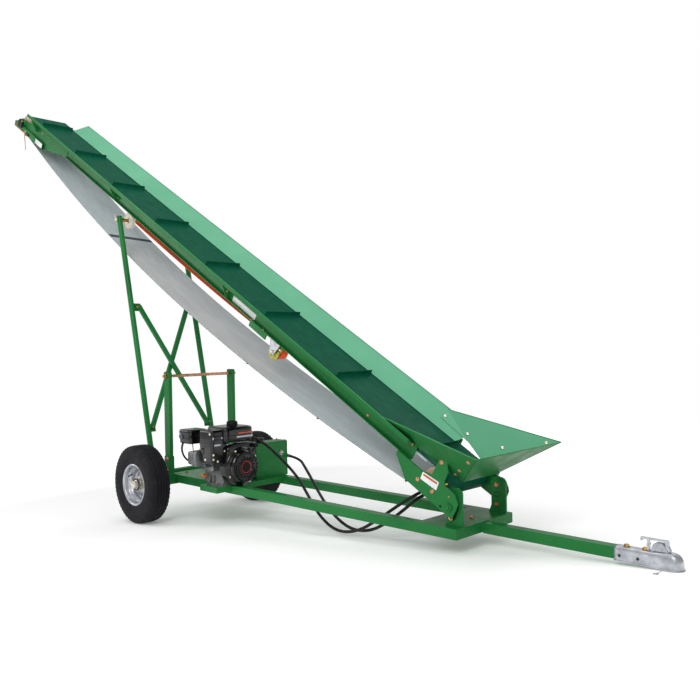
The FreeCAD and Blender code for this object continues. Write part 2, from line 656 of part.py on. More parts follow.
def rim():
    """Left rim: rolled barrel with bead seats and flanges, and a dished disc bored for the hub."""
    wall = RIM_WALL
    half = RIM_HALF_WIDTH
    disc_in = RIM_DISC_OFFSET
    disc_out = disc_in + wall + 2
    dish = RIM_DISH
    outline = [
        (-half, RIM_FLANGE_RADIUS), (-half, RIM_BEAD_RADIUS - wall), (-half + 34, RIM_BEAD_RADIUS - wall),
        (-half + 42, RIM_WELL_RADIUS - wall), (disc_in - 8, RIM_WELL_RADIUS - wall),
        (disc_in - dish, RIM_WELL_RADIUS - 22), (disc_in - dish, HUB_FLANGE_RADIUS + 8),
        (disc_in, HUB_FLANGE_RADIUS), (disc_in, HUB_RADIUS), (disc_out, HUB_RADIUS),
        (disc_out, HUB_FLANGE_RADIUS + 2), (disc_out - dish, HUB_FLANGE_RADIUS + 12),
        (disc_out - dish, RIM_WELL_RADIUS - 24), (disc_out - 6, RIM_WELL_RADIUS - wall),
        (half - 32, RIM_BEAD_RADIUS - wall), (half, RIM_BEAD_RADIUS - wall), (half, RIM_FLANGE_RADIUS),
        (half - 6, RIM_FLANGE_RADIUS), (half - 6, RIM_BEAD_RADIUS), (half - 30, RIM_BEAD_RADIUS),
        (half - 40, RIM_WELL_RADIUS), (-half + 44, RIM_WELL_RADIUS), (-half + 36, RIM_BEAD_RADIUS),
        (-half + 6, RIM_BEAD_RADIUS), (-half + 6, RIM_FLANGE_RADIUS),
    ]
    return revolve_about_y(outline, WHEEL_AXLE.x, WHEEL_CENTRE, WHEEL_AXLE.z)


def hub():
    """Left hub: barrel on the spindle, flange inside the rim's disc and domed grease cap."""
    bore = SPINDLE_DIAMETER / 2 + RUNNING_FIT
    flange_out = RIM_DISC_OFFSET
    spindle_end = SPINDLE_END - WHEEL_CENTRE + 1.0
    outline = [
        (-HUB_LENGTH_IN, bore), (-HUB_LENGTH_IN, HUB_RADIUS), (flange_out - HUB_FLANGE, HUB_RADIUS),
        (flange_out - HUB_FLANGE, HUB_FLANGE_RADIUS), (flange_out, HUB_FLANGE_RADIUS), (flange_out, HUB_RADIUS),
        (flange_out + 16, HUB_RADIUS), (flange_out + 16, HUB_CAP_RADIUS), (HUB_LENGTH_OUT - 8, HUB_CAP_RADIUS),
        (HUB_LENGTH_OUT - 2, HUB_CAP_RADIUS - 8), (HUB_LENGTH_OUT, HUB_CAP_RADIUS - 18), (HUB_LENGTH_OUT, 0),
        (spindle_end, 0), (spindle_end, bore),
    ]
    return revolve_about_y(outline, WHEEL_AXLE.x, WHEEL_CENTRE, WHEEL_AXLE.z)


# ---------------------------------------------------------------- belt
def belt_curve(inset):
    """Points that define the belt's loop, drawn a distance inside its outer face.

    The loop is a straight carrying run, an arc round the head drum, a wide hanging arc for the slack
    return run, and an arc round the tail drum.  Returns the (reach, height) of the five joints and
    the mid points of the three arcs.
    """
    half = (HEAD_REACH - TAIL_REACH) / 2
    middle = (HEAD_REACH + TAIL_REACH) / 2
    drop = BELT_SAG - DRUM_WRAP
    sweep = (half ** 2 + drop ** 2 - DRUM_WRAP ** 2) / (2 * (drop - DRUM_WRAP))
    centre = sweep - BELT_SAG
    lean = math.atan2(half, centre - DRUM_AXIS)
    radius = DRUM_WRAP - inset
    start = (TAIL_REACH, -inset)
    top_end = (HEAD_REACH, -inset)
    head_mid_angle = (math.pi / 2 - (math.pi / 2 - lean)) / 2
    head_leave = (HEAD_REACH + radius * math.sin(lean), DRUM_AXIS - radius * math.cos(lean))
    head_angle = math.pi / 2 - lean
    turn = (math.pi - head_angle - (math.pi / 2 - head_angle)) / 2
    mid = (math.pi / 2 + (lean - math.pi / 2)) / 2
    head_mid = (HEAD_REACH + radius * math.cos(mid), DRUM_AXIS + radius * math.sin(mid))
    bottom = (middle, -BELT_SAG + inset)
    tail_leave = (TAIL_REACH - radius * math.sin(lean), DRUM_AXIS - radius * math.cos(lean))
    tail_mid = (TAIL_REACH - radius * math.cos(mid), DRUM_AXIS + radius * math.sin(mid))
    return start, top_end, head_mid, head_leave, bottom, tail_leave, tail_mid, lean, sweep


def belt_wire(inset):
    start, top_end, head_mid, head_leave, bottom, tail_leave, tail_mid, lean, sweep = belt_curve(inset)
    half = BELT_WIDTH / 2

    def point(place):
        return Vector(*boom_point(place[0], -half, place[1]))

    edges = [
        Part.makeLine(point(start), point(top_end)),
        Part.Arc(point(top_end), point(head_mid), point(head_leave)).toShape(),
        Part.Arc(point(head_leave), point(bottom), point(tail_leave)).toShape(),
        Part.Arc(point(tail_leave), point(tail_mid), point(start)).toShape(),
    ]
    return Part.Wire(edges)


def belt_station(distance):
    """Place and outward direction on the belt's outer face, a distance along it from the tail drum."""
    start, top_end, head_mid, head_leave, bottom, tail_leave, tail_mid, lean, sweep = belt_curve(0.0)
    top_length = HEAD_REACH - TAIL_REACH
    wrap = math.pi - lean
    drum_length = DRUM_WRAP * wrap
    sag_length = sweep * 2 * lean
    middle = (HEAD_REACH + TAIL_REACH) / 2
    total = top_length + 2 * drum_length + sag_length
    distance = distance % total
    if distance < top_length:
        return (TAIL_REACH + distance, 0.0), (0.0, 1.0), total
    distance -= top_length
    if distance < drum_length:
        angle = math.pi / 2 - distance / DRUM_WRAP
        outward = (math.cos(angle), math.sin(angle))
        return (HEAD_REACH + DRUM_WRAP * outward[0], DRUM_AXIS + DRUM_WRAP * outward[1]), outward, total
    distance -= drum_length
    if distance < sag_length:
        angle = lean - distance / sweep
        outward = (math.sin(angle), -math.cos(angle))
        return (middle + sweep * outward[0], sweep - BELT_SAG + sweep * outward[1]), outward, total
    distance -= sag_length
    angle = math.pi * 1.5 - lean - distance / DRUM_WRAP
    outward = (math.cos(angle), math.sin(angle))
    return (TAIL_REACH + DRUM_WRAP * outward[0], DRUM_AXIS + DRUM_WRAP * outward[1]), outward, total


def belt():
    """The belt loop with its cross cleats, as one moulded piece."""
    across = Vector(0, BELT_WIDTH, 0)
    outer = Part.Face(belt_wire(0.0)).extrude(across)
    inner = Part.Face(belt_wire(BELT_THICKNESS)).extrude(across)
    pieces = [outer.cut(inner)]
    spacing = (belt_station(0.0)[2] - CLEAT_JOINT_SPACING) / (CLEAT_COUNT - 1)
    for index in range(CLEAT_COUNT):
        place, outward, total = belt_station(FIRST_CLEAT - TAIL_REACH + index * spacing)
        along = (outward[1], -outward[0])
        outline = []
        for across, rise in ((-CLEAT_BASE / 2, -1.5), (CLEAT_BASE / 2, -1.5), (CLEAT_TIP / 2, CLEAT_HEIGHT),
                             (-CLEAT_TIP / 2, CLEAT_HEIGHT)):
            outline.append((place[0] + along[0] * across + outward[0] * rise,
                            place[1] + along[1] * across + outward[1] * rise))
        pieces.append(boom_plate(outline, -CLEAT_WIDTH / 2, CLEAT_WIDTH / 2))
    return fuse(pieces)


def head_drum():
    shaft_end = ARM_OUTER + HEAD_BEARING_LENGTH
    return fuse([
        boom_rod(HEAD_REACH, DRUM_AXIS, -DRUM_LENGTH / 2, DRUM_LENGTH / 2, DRUM_RADIUS_BARE),
        boom_rod(HEAD_REACH, DRUM_AXIS, -shaft_end, shaft_end, HEAD_SHAFT_DIAMETER / 2),
    ])


def tail_drum():
    """Tail drum; its shaft runs out on the left into the motor."""
    return fuse([
        boom_rod(TAIL_REACH, DRUM_AXIS, -DRUM_LENGTH / 2, DRUM_LENGTH / 2, DRUM_RADIUS_BARE),
        boom_rod(TAIL_REACH, DRUM_AXIS, -SIDE_PLATE_INNER, SIDE_PLATE_OUTER, TAIL_SHAFT_DIAMETER / 2),
    ])


# ---------------------------------------------------------------- boom structure
def slider_pan():
    """The sheet that the carrying run slides on."""
    return boom_box(TAIL_REACH + PAN_END_GAP, HEAD_REACH - PAN_END_GAP, -PAN_HALF, PAN_HALF, PAN_BOTTOM, PAN_TOP)


def boom_channel():
    """Left boom side: an upright web under the side board, with a flange turned out along its foot."""
    web_top_in = board_height(PAN_HALF) - BOARD_DROP
    web_top_out = board_height(WEB_OUTER) - BOARD_DROP
    web = boom_bar([(PAN_HALF, -WEB_DEPTH), (WEB_OUTER, -WEB_DEPTH), (WEB_OUTER, web_top_out),
                    (PAN_HALF, web_top_in)], CHANNEL_START, WEB_END)
    flange = boom_box(CHANNEL_START, FLANGE_END, WEB_OUTER - 1, FLANGE_OUTER, -WEB_DEPTH, FLANGE_TOP)
    return fuse([web, flange])


def side_board():
    """Left side board: a sloping sheet with its upper edge turned down."""
    length = math.hypot(1.0, BOARD_SLOPE)
    out = SHEET * BOARD_SLOPE / length
    down = SHEET / length
    sheet = boom_bar([(BOARD_FOOT, BOARD_FOOT_HEIGHT), (BOARD_TOP, BOARD_TOP_HEIGHT),
                      (BOARD_TOP + out, BOARD_TOP_HEIGHT - down), (BOARD_FOOT + out, BOARD_FOOT_HEIGHT - down)],
                     BOARD_START, BOARD_END)
    lip = boom_box(BOARD_START, BOARD_END, BOARD_TOP - 0.5, BOARD_TOP + SHEET, BOARD_TOP_HEIGHT - LIP_DEPTH,
                   BOARD_TOP_HEIGHT)
    return fuse([sheet, lip])


def boom_crossmembers():
    """Flat ties under the pan, and the gussets that stiffen the side boards."""
    pieces = []
    count = int((WEB_END - CHANNEL_START) / CROSSMEMBER_SPACING)
    for index in range(count):
        reach = CHANNEL_START + CROSSMEMBER_SPACING * (index + 0.5)
        pieces.append(boom_box(reach, reach + CROSSMEMBER_WIDTH, -PAN_HALF, PAN_HALF, FLANGE_TOP, PAN_BOTTOM))
    top_out = BOARD_TOP - 1.0
    for reach in GUSSET_REACHES:
        inner = WEB_OUTER if reach < FLANGE_END else ARM_INNER
        outline = [(inner, FLANGE_TOP), (FLANGE_OUTER, FLANGE_TOP), (top_out, BOARD_TOP_HEIGHT - LIP_DEPTH),
                   (top_out, board_height(top_out) - BOARD_DROP), (inner, board_height(inner) - BOARD_DROP)]
        gusset = boom_bar(outline, reach, reach + GUSSET_THICKNESS)
        pieces += [gusset, mirrored(gusset)]
    return Part.makeCompound(pieces)


def hopper_plane():
    """A point on the upper surface of the left hopper sheet, and the surface's upward normal."""
    kink = Vector(*hopper_kink())
    lip = Vector(*boom_point(*HOPPER_LIP_CORNER))
    foot = Vector(*boom_point(*HOPPER_FOOT_CORNER))
    normal = (foot - kink).cross(lip - kink)
    normal.normalize()
    if normal.z < 0:
        normal = normal * -1
    return kink, normal


def hopper_kink():
    """Top of the fold between the hopper sheet and its wing on the side board."""
    height = board_height(HOPPER_KINK_HALF_WIDTH) + BOARD_DROP
    return boom_point(HOPPER_KINK_REACH, HOPPER_KINK_HALF_WIDTH, height)


def on_hopper(reach, y):
    """The point of the left hopper sheet's upper surface at a reach and half width."""
    base, normal = hopper_plane()
    x = -reach
    z = base.z - (normal.x * (x - base.x) + normal.y * (y - base.y)) / normal.z
    return (x, y, z)


def fold_reach(y):
    """Reach of the fold line at a half width: where the sheet meets the side board's surface."""
    base, normal = hopper_plane()
    z = board_height(y) + BOARD_DROP + PIVOT_DROP
    x = base.x - (normal.y * (y - base.y) + normal.z * (z - base.z)) / normal.x
    return -x


def hopper_side():
    """Left hopper sheet, with the wing that bolts onto the side board."""
    base, normal = hopper_plane()
    kink = hopper_kink()
    wing_foot = on_hopper(fold_reach(WING_FOOT_HALF_WIDTH), WING_FOOT_HALF_WIDTH)
    slit = on_hopper(HOPPER_SLIT_CORNER_REACH, HOPPER_SLIT_CORNER_HALF_WIDTH)
    outline = [kink, boom_point(*HOPPER_LIP_CORNER), boom_point(*HOPPER_FOOT_CORNER), slit, wing_foot]
    down = normal * -SHEET
    sheet = extrude(outline, (down.x, down.y, down.z))
    rear = (-WING_REAR[0], WING_REAR[1], board_height(WING_REAR[1]) + BOARD_DROP + PIVOT_DROP)
    length = math.hypot(1.0, BOARD_SLOPE)
    ahead = (SHEET, 0, 0)
    wing_outline = [kink, Vector(*kink) + Vector(*ahead), Vector(*wing_foot) + Vector(*ahead), wing_foot, rear]
    wing = extrude(wing_outline, (0, SHEET * BOARD_SLOPE / length, -SHEET / length))
    return fuse([sheet, wing])


def hopper_front():
    """Front sheet of the hopper between the two side sheets."""
    lip = boom_point(*HOPPER_LIP_CORNER)
    foot = boom_point(*HOPPER_FOOT_CORNER)
    outline = [lip, (lip[0], -lip[1], lip[2]), (foot[0], -foot[1], foot[2]), foot]
    slope = Vector(lip[0] - foot[0], 0, lip[2] - foot[2])
    outward = Vector(slope.z, 0, -slope.x)
    outward.normalize()
    outward = outward * SHEET
    return extrude(outline, (outward.x, outward.y, outward.z))


def side_plate(shaft_end):
    """Plate outside the boom's flange at the tail: it carries the pivot pin, the tail shaft and the hopper."""
    outline = [(389, -64), (385, FLANGE_TOP), (215, FLANGE_TOP), (156, -24.5), (156, 68), (146, 85), (113, 86.5),
               (86, 45.5), (82, -9), (69, -27), (5, -24), (-22, -45), (-34, -59), (-37, -84), (-38, -124),
               (-37, -137), (279, -142)]
    plate = boom_plate(outline, SIDE_PLATE_INNER, SIDE_PLATE_OUTER)
    bearing = boom_rod(TAIL_REACH, DRUM_AXIS, DRUM_LENGTH / 2 + TAIL_BEARING_GAP, SIDE_PLATE_INNER,
                       TAIL_BEARING_DIAMETER / 2)
    plate = fuse([plate, bearing])
    shaft = boom_rod(TAIL_REACH, DRUM_AXIS, 0, shaft_end, TAIL_SHAFT_DIAMETER / 2)
    pin = boom_rod(0, -PIVOT_DROP, 0, SIDE_PLATE_OUTER + 1, PIVOT_PIN_DIAMETER / 2)
    hole = boom_rod(SIDE_PLATE_HOLE[0], SIDE_PLATE_HOLE[1], 0, SIDE_PLATE_OUTER + 1, SIDE_PLATE_HOLE_DIAMETER / 2)
    base, normal = hopper_plane()
    above = Part.makePlane(2000, 2000, base - normal * SHEET, normal)
    above.translate(above.CenterOfMass * -1 + base - normal * SHEET)
    half_space = above.extrude(normal * 500)
    return plate.cut(shaft).cut(pin).cut(hole).cut(half_space)


def pivot_pins():
    """The two short pins that the boom swings on, each with a head outside its plate."""
    pieces = []
    for side in (-1, 1):
        pin = boom_rod(0, -PIVOT_DROP, side * (BRACKET_INNER + 1), side * (SIDE_PLATE_OUTER + 1),
                       PIVOT_PIN_DIAMETER / 2)
        head = boom_rod(0, -PIVOT_DROP, side * SIDE_PLATE_OUTER, side * (SIDE_PLATE_OUTER + PIVOT_NUT_THICKNESS),
                        PIVOT_NUT_DIAMETER / 2)
        pieces.append(fuse([pin, head]))
    return Part.makeCompound(pieces)


def takeup_arm():
    """Left head plate: a sheet that tapers down to a tube arm, and the bearing of the head shaft."""
    arm_bottom = ARM_TOP - ARM_DEPTH
    outline = [(FLANGE_END, 0), (FLANGE_END, -WEB_DEPTH), (ARM_START, arm_bottom), (ARM_END - 12, arm_bottom),
               (ARM_END, ARM_TOP), (HEAD_REACH + 45, ARM_TOP + 55), (HEAD_REACH - 60, ARM_TOP + 55), (WEB_END, 0)]
    plate = boom_plate(outline, WEB_OUTER, ARM_INNER)
    arm = boom_box(ARM_START, ARM_END, ARM_INNER - 1, ARM_OUTER, arm_bottom, ARM_TOP)
    hollow = boom_box(ARM_START, ARM_END, ARM_INNER + TUBE_WALL - 1, ARM_OUTER - TUBE_WALL, arm_bottom + TUBE_WALL,
                      ARM_TOP - TUBE_WALL)
    bearing = boom_rod(HEAD_REACH, DRUM_AXIS, ARM_INNER - 1, ARM_OUTER + HEAD_BEARING_LENGTH,
                       HEAD_BEARING_DIAMETER / 2)
    shaft = boom_rod(HEAD_REACH, DRUM_AXIS, 0, ARM_OUTER + HEAD_BEARING_LENGTH + 1, HEAD_SHAFT_DIAMETER / 2)
    return fuse([plate, arm.cut(hollow), bearing]).cut(shaft)


def hydraulic_motor():
    """Motor on the left end of the tail shaft, its two ports facing back."""
    start = SIDE_PLATE_OUTER
    body_start = start + MOTOR_FLANGE_THICKNESS
    half = MOTOR_FLANGE / 2
    flange = boom_box(TAIL_REACH - half, TAIL_REACH + half, start, body_start, DRUM_AXIS - half, DRUM_AXIS + half)
    body = boom_rod(TAIL_REACH, DRUM_AXIS, start, start + MOTOR_LENGTH, MOTOR_DIAMETER / 2)
    return fuse([flange, body])


def hose_fitting(end, beside, length):
    """A round fitting in line with a hose's end run, from the hose's end to the piece it screws into."""
    outward = Vector(*end) - Vector(*beside)
    outward.normalize()
    return rod(end, Vector(*end) + outward * length, FITTING_DIAMETER / 2)


def motor_ports():
    """The motor's two hose fittings, pointing back from the motor's body."""
    return [hose_fitting(route[-1], route[-2], FITTING_LENGTH) for route in (PRESSURE_HOSE, RETURN_HOSE)]


# ---------------------------------------------------------------- winch
def winch_bracket():
    """Angle under the right-hand flange that the winch is bolted to."""
    plate_inner = -FLANGE_OUTER + WINCH_PLATE_THICKNESS
    plate = boom_box(WINCH_PLATE_START, WINCH_PLATE_END, -FLANGE_OUTER, plate_inner,
                     -WEB_DEPTH - WINCH_PLATE_DEPTH, -WEB_DEPTH)
    shelf = boom_box(WINCH_SHELF_START, WINCH_PLATE_END, plate_inner - 1, -STRAP_CENTRE + STRAP_WIDTH,
                     -WEB_DEPTH - WINCH_SHELF_THICKNESS, -WEB_DEPTH)
    return fuse([plate, shelf])


def winch_cheek(y0, y1):
    base = -WEB_DEPTH - WINCH_SHELF_THICKNESS
    outline = [(WINCH_REACH - 52, base), (WINCH_REACH + 62, base), (WINCH_REACH + 16, -WINCH_DEPTH - 14),
               (WINCH_REACH - 16, -WINCH_DEPTH - 14)]
    return boom_plate(outline, y0, y1)


def winch_frame():
    """Two cheeks and the shaft they carry."""
    strap_out = -STRAP_CENTRE - STRAP_WIDTH / 2
    strap_in = -STRAP_CENTRE + STRAP_WIDTH / 2
    outer = strap_out - 36.0
    inner = strap_in + 10.0
    return fuse([
        winch_cheek(outer - CHEEK_THICKNESS, outer),
        winch_cheek(inner, inner + CHEEK_THICKNESS),
        boom_rod(WINCH_REACH, -WINCH_DEPTH, outer - CHEEK_THICKNESS - 8, inner + CHEEK_THICKNESS + 6,
                 WINCH_SHAFT_DIAMETER / 2),
    ])


def winch_gear():
    """Gear wheel and drum core, turned as one piece on the winch shaft."""
    strap_out = -STRAP_CENTRE - STRAP_WIDTH / 2
    strap_in = -STRAP_CENTRE + STRAP_WIDTH / 2
    gear_in = strap_out - 16.0
    pieces = [
        boom_rod(WINCH_REACH, -WINCH_DEPTH, gear_in - GEAR_THICKNESS, gear_in, GEAR_RADIUS),
        boom_rod(WINCH_REACH, -WINCH_DEPTH, gear_in, strap_in + 6, DRUM_RADIUS * 0.5),
        boom_rod(WINCH_REACH, -WINCH_DEPTH, strap_in + 2, strap_in + 5, STRAP_WOUND_RADIUS * -1 + 4),
    ]
    bore = boom_rod(WINCH_REACH, -WINCH_DEPTH, -300, 0, WINCH_SHAFT_DIAMETER / 2)
    return fuse(pieces).cut(bore)


def winch_strap():
    """Webbing strap: the wound turns on the drum, the free length and the sewn loop at the roller shaft."""
    y0 = -STRAP_CENTRE - STRAP_WIDTH / 2
    y1 = -STRAP_CENTRE + STRAP_WIDTH / 2
    wound = WINCH_DEPTH - ROLLER_DEPTH + STRAP_LOOP_RADIUS + STRAP_THICKNESS
    top = -WINCH_DEPTH + wound
    coil = boom_rod(WINCH_REACH, -WINCH_DEPTH, y0, y1, wound)
    coil = coil.cut(boom_rod(WINCH_REACH, -WINCH_DEPTH, y0 - 1, y1 + 1, DRUM_RADIUS * 0.5))
    run = boom_box(WINCH_REACH, ROLLER_REACH, y0, y1, top - STRAP_THICKNESS, top)
    loop = boom_rod(ROLLER_REACH, -ROLLER_DEPTH, y0, y1, STRAP_LOOP_RADIUS + STRAP_THICKNESS)
    eye = boom_rod(ROLLER_REACH, -ROLLER_DEPTH, y0 - 1, y1 + 1, STRAP_LOOP_RADIUS)
    return fuse([coil, run, loop]).cut(eye)


# ---------------------------------------------------------------- legs
def leg():
    """Left leg: a tube with the pivot eye at its foot and a lug for each brace."""
    y0 = LEG_CENTRE - LEG_TUBE_DIAMETER / 2
    y1 = LEG_CENTRE + LEG_TUBE_DIAMETER / 2
    top = LEG_LENGTH + LEG_SHAFT_DIAMETER / 2 + 12
    tube = rod((0, LEG_CENTRE, 10), (0, LEG_CENTRE, top), LEG_TUBE_DIAMETER / 2)
    tube = tube.cut(rod((0, LEG_CENTRE, 20), (0, LEG_CENTRE, top + 1), LEG_TUBE_DIAMETER / 2 - LEG_TUBE_WALL))
    eye = rod((0, y0, 0), (0, y1, 0), LEG_EYE_DIAMETER / 2)
    pieces = [tube.cut(rod((0, y0 - 1, 0), (0, y1 + 1, 0), LEG_EYE_DIAMETER / 2 - 1)), eye]
    for height, reach in ((UPPER_LUG_HEIGHT, UPPER_LUG_REACH), (LOWER_LUG_HEIGHT, LOWER_LUG_REACH)):
        lug = block(-LUG_THICKNESS / 2, LUG_THICKNESS / 2, reach, LEG_CENTRE - LEG_TUBE_DIAMETER / 2 + 2,
                    height - LUG_HEIGHT / 2, height + LUG_HEIGHT / 2)
        pieces.append(lug)
    body = fuse(pieces)
    cuts = [
        rod((0, y0 - 1, 0), (0, y1 + 1, 0), LEG_SHAFT_DIAMETER / 2 + RUNNING_FIT),
        rod((0, y0 - 1, LEG_LENGTH), (0, y1 + 1, LEG_LENGTH), LEG_SHAFT_DIAMETER / 2),
    ]
    for height, reach in ((UPPER_LUG_HEIGHT, UPPER_LUG_REACH), (LOWER_LUG_HEIGHT, LOWER_LUG_REACH)):
        bolt_y = reach + BRACE_WIDTH / 2
        cuts.append(rod((-LUG_THICKNESS, bolt_y, height), (LUG_THICKNESS, bolt_y, height), BRACE_BOLT / 2))
    for cut in cuts:
        body = body.cut(cut)
    return body


def leg_braces():
    """Two flat bars that cross between the legs, each bolted to an upper and a lower lug."""
    pieces = []
    for side, face in ((-1, 1), (1, -1)):
        upper = Vector(0, side * (UPPER_LUG_REACH + BRACE_WIDTH / 2), UPPER_LUG_HEIGHT)
        lower = Vector(0, -side * (LOWER_LUG_REACH + BRACE_WIDTH / 2), LOWER_LUG_HEIGHT)
        near = face * LUG_THICKNESS / 2
        far = near + face * BRACE_THICKNESS
        along = upper - lower
        length = along.Length
        along.normalize()
        across = Vector(0, -along.z, along.y)
        half = BRACE_WIDTH / 2
        corners = [lower - across * half, lower + across * half, upper + across * half, upper - across * half]
        bar = extrude([(near, corner.y, corner.z) for corner in corners], (far - near, 0, 0))
        parts = [bar]
        for end in (upper, lower):
            parts.append(rod((near, end.y, end.z), (far, end.y, end.z), half))
            bolt_back = -face * (LUG_THICKNESS / 2 + 10)
            parts.append(rod((bolt_back, end.y, end.z), (far, end.y, end.z), BRACE_BOLT / 2))
        pieces.append(fuse(parts))
    return Part.makeCompound(pieces)


def roller_shaft():
    """The shaft through both leg tops that carries the support rollers."""
    return rod((0, -LEG_SHAFT_HALF, LEG_LENGTH), (0, LEG_SHAFT_HALF, LEG_LENGTH), LEG_SHAFT_DIAMETER / 2)


def support_roller():
    """Left nylon roller on the roller shaft."""
    y0 = ROLLER_CENTRE - ROLLER_WIDTH / 2
    y1 = ROLLER_CENTRE + ROLLER_WIDTH / 2
    roller = rod((0, y0, LEG_LENGTH), (0, y1, LEG_LENGTH), ROLLER_DIAMETER / 2)
    return roller.cut(rod((0, y0 - 1, LEG_LENGTH), (0, y1 + 1, LEG_LENGTH), LEG_SHAFT_DIAMETER / 2 + RUNNING_FIT))


# ---------------------------------------------------------------- engine, pump and tank
def engine_block():
    """Crankcase on its two feet, with the fan housing on the front."""
    rear = -BEARER_REAR + 20
    front = -RECOIL_FACE - RECOIL_COVER_LENGTH - FAN_HOUSING_LENGTH
    half_foot = FOOT_WIDTH / 2
    half_case = CRANKCASE_WIDTH / 2 - 25
    feet = block(rear, front, ENGINE_OFFSET - half_foot, ENGINE_OFFSET + half_foot, 0, FOOT_THICKNESS)
    case = section_profile([(ENGINE_OFFSET - half_foot + 12, FOOT_THICKNESS), (ENGINE_OFFSET + half_foot - 12, FOOT_THICKNESS),
                            (ENGINE_OFFSET + half_case, CRANK_HEIGHT + 70), (ENGINE_OFFSET - half_case, CRANK_HEIGHT + 70)],
                           rear - 40, front)
    return fuse([feet, case])


def engine_fan_housing():
    """Round fan housing and the recoil starter cover in front of it."""
    front = -RECOIL_FACE
    mid = front - RECOIL_COVER_LENGTH
    back = mid - FAN_HOUSING_LENGTH
    housing = rod((back, ENGINE_OFFSET, CRANK_HEIGHT), (mid, ENGINE_OFFSET, CRANK_HEIGHT), FAN_HOUSING_RADIUS)
    floor = block(back, mid, ENGINE_OFFSET - 200, ENGINE_OFFSET + 200, -60, 1)
    cover = rod((mid, ENGINE_OFFSET, CRANK_HEIGHT), (front, ENGINE_OFFSET, CRANK_HEIGHT), RECOIL_RADIUS)
    cover = rounded(cover, 12, lambda edge: edge.BoundBox.XMin > front - 0.1 and edge.BoundBox.ZLength > 50)
    return fuse([housing.cut(floor), cover])


def engine_cylinder():
    """Inclined cylinder with its shroud and rocker cover, on the right of the crankcase."""
    base_y = ENGINE_OFFSET - CRANKCASE_WIDTH / 2 + 25
    shroud = block(-1806, -1672, -392, base_y, 150, 352)
    rocker = block(-1915, -1806, -418, base_y - 40, 122, 222)
    neck = block(-1880, -1672, base_y - 45, base_y + 20, 60, 150)
    return fuse([shroud, rocker, neck]).cut(engine_block()).cut(engine_fan_housing()).cut(fuel_tank())


def engine_air_cleaner():
    """Air cleaner box above the rocker cover."""
    box = block(-2024, -1890, -400, -262, 252, 342)
    box = rounded(box, 14, lambda edge: True)
    elbow = block(-1925, -1890, -330, -290, 215, 260)
    return fuse([box, elbow]).cut(engine_cylinder())


def fuel_tank():
    """Fuel tank over the crankcase, with its filler cap."""
    depth, width, height = FUEL_TANK
    right = ENGINE_OFFSET - width / 2 - 10
    floor = FUEL_TANK_FLOOR
    tank = block(-FUEL_TANK_FRONT - depth, -FUEL_TANK_FRONT, right, right + width, floor, floor + height)
    tank = rounded(tank, 26, lambda edge: edge.BoundBox.ZMax > floor + 1)
    cap_x = -FUEL_TANK_FRONT - 60
    cap = rod((cap_x, ENGINE_OFFSET - 25, floor + height - 2), (cap_x, ENGINE_OFFSET - 25, floor + height + 32), FUEL_CAP_RADIUS)
    stem = block(-FUEL_TANK_FRONT - depth + 60, -FUEL_TANK_FRONT - 60, ENGINE_OFFSET - 50, ENGINE_OFFSET + 50,
                 CRANK_HEIGHT + 70, floor + 2)
    return fuse([tank, cap, stem])


def hydraulic_pump():
    """Gear pump on the back of the crankcase, with its pressure outlet."""
    start = -BEARER_REAR - 20
    half = PUMP_WIDTH / 2
    body = block(start - PUMP_LENGTH, start, ENGINE_OFFSET - half, ENGINE_OFFSET + half, CRANK_HEIGHT - half,
                 CRANK_HEIGHT + half)
    return fuse([body, hose_fitting(PRESSURE_HOSE[0], PRESSURE_HOSE[1], FITTING_LENGTH)])


def hydraulic_tank():
    """Slim oil tank standing across the rails, with its return fitting on the left end."""
    tank = block(-TANK_FRONT - TANK_DEPTH, -TANK_FRONT, TANK_RIGHT, TANK_LEFT, 0, TANK_HEIGHT)
    outlet = RETURN_HOSE[0]
    half = FITTING_DIAMETER / 2
    face = outlet[0] - half
    elbow = block(face - FITTING_DIAMETER, face, TANK_LEFT - 1, outlet[1] + half, outlet[2] - half, outlet[2] + half)
    return fuse([tank, elbow, hose_fitting(outlet, RETURN_HOSE[1], FITTING_DIAMETER)])


def hose_path(points):
    """Straight runs joined by tangent arcs; each arc's radius is 0.45 of its shorter run over tan(half turn)."""
    corners = [Vector(*point) for point in points]
    edges = []
    radii = []
    start = corners[0]
    for before, here, after in zip(corners, corners[1:], corners[2:]):
        back = before - here
        ahead = after - here
        turn = math.pi - back.getAngle(ahead)
        setback = 0.45 * min(back.Length, ahead.Length)
        radii.append(setback / math.tan(turn / 2))
        back.normalize()
        ahead.normalize()
        arc_start = here + back * setback
        arc_end = here + ahead * setback
        bisector = back + ahead
        bisector.normalize()
        centre_distance = radii[-1] / math.cos(turn / 2)
        arc_middle = here + bisector * (centre_distance - radii[-1])
        edges.append(Part.makeLine(start, arc_start))
        edges.append(Part.Arc(arc_start, arc_middle, arc_end).toShape())
        start = arc_end
    edges.append(Part.makeLine(start, corners[-1]))
    return Part.Wire(edges), radii


def hose(points):
    wire, radii = hose_path(points)
    start = Vector(*points[0])
    direction = Vector(*points[1]) - start
    circle = Part.Wire(Part.makeCircle(HOSE_DIAMETER / 2, start, direction))
    tube = wire.makePipeShell([circle], True, True)
    return tube


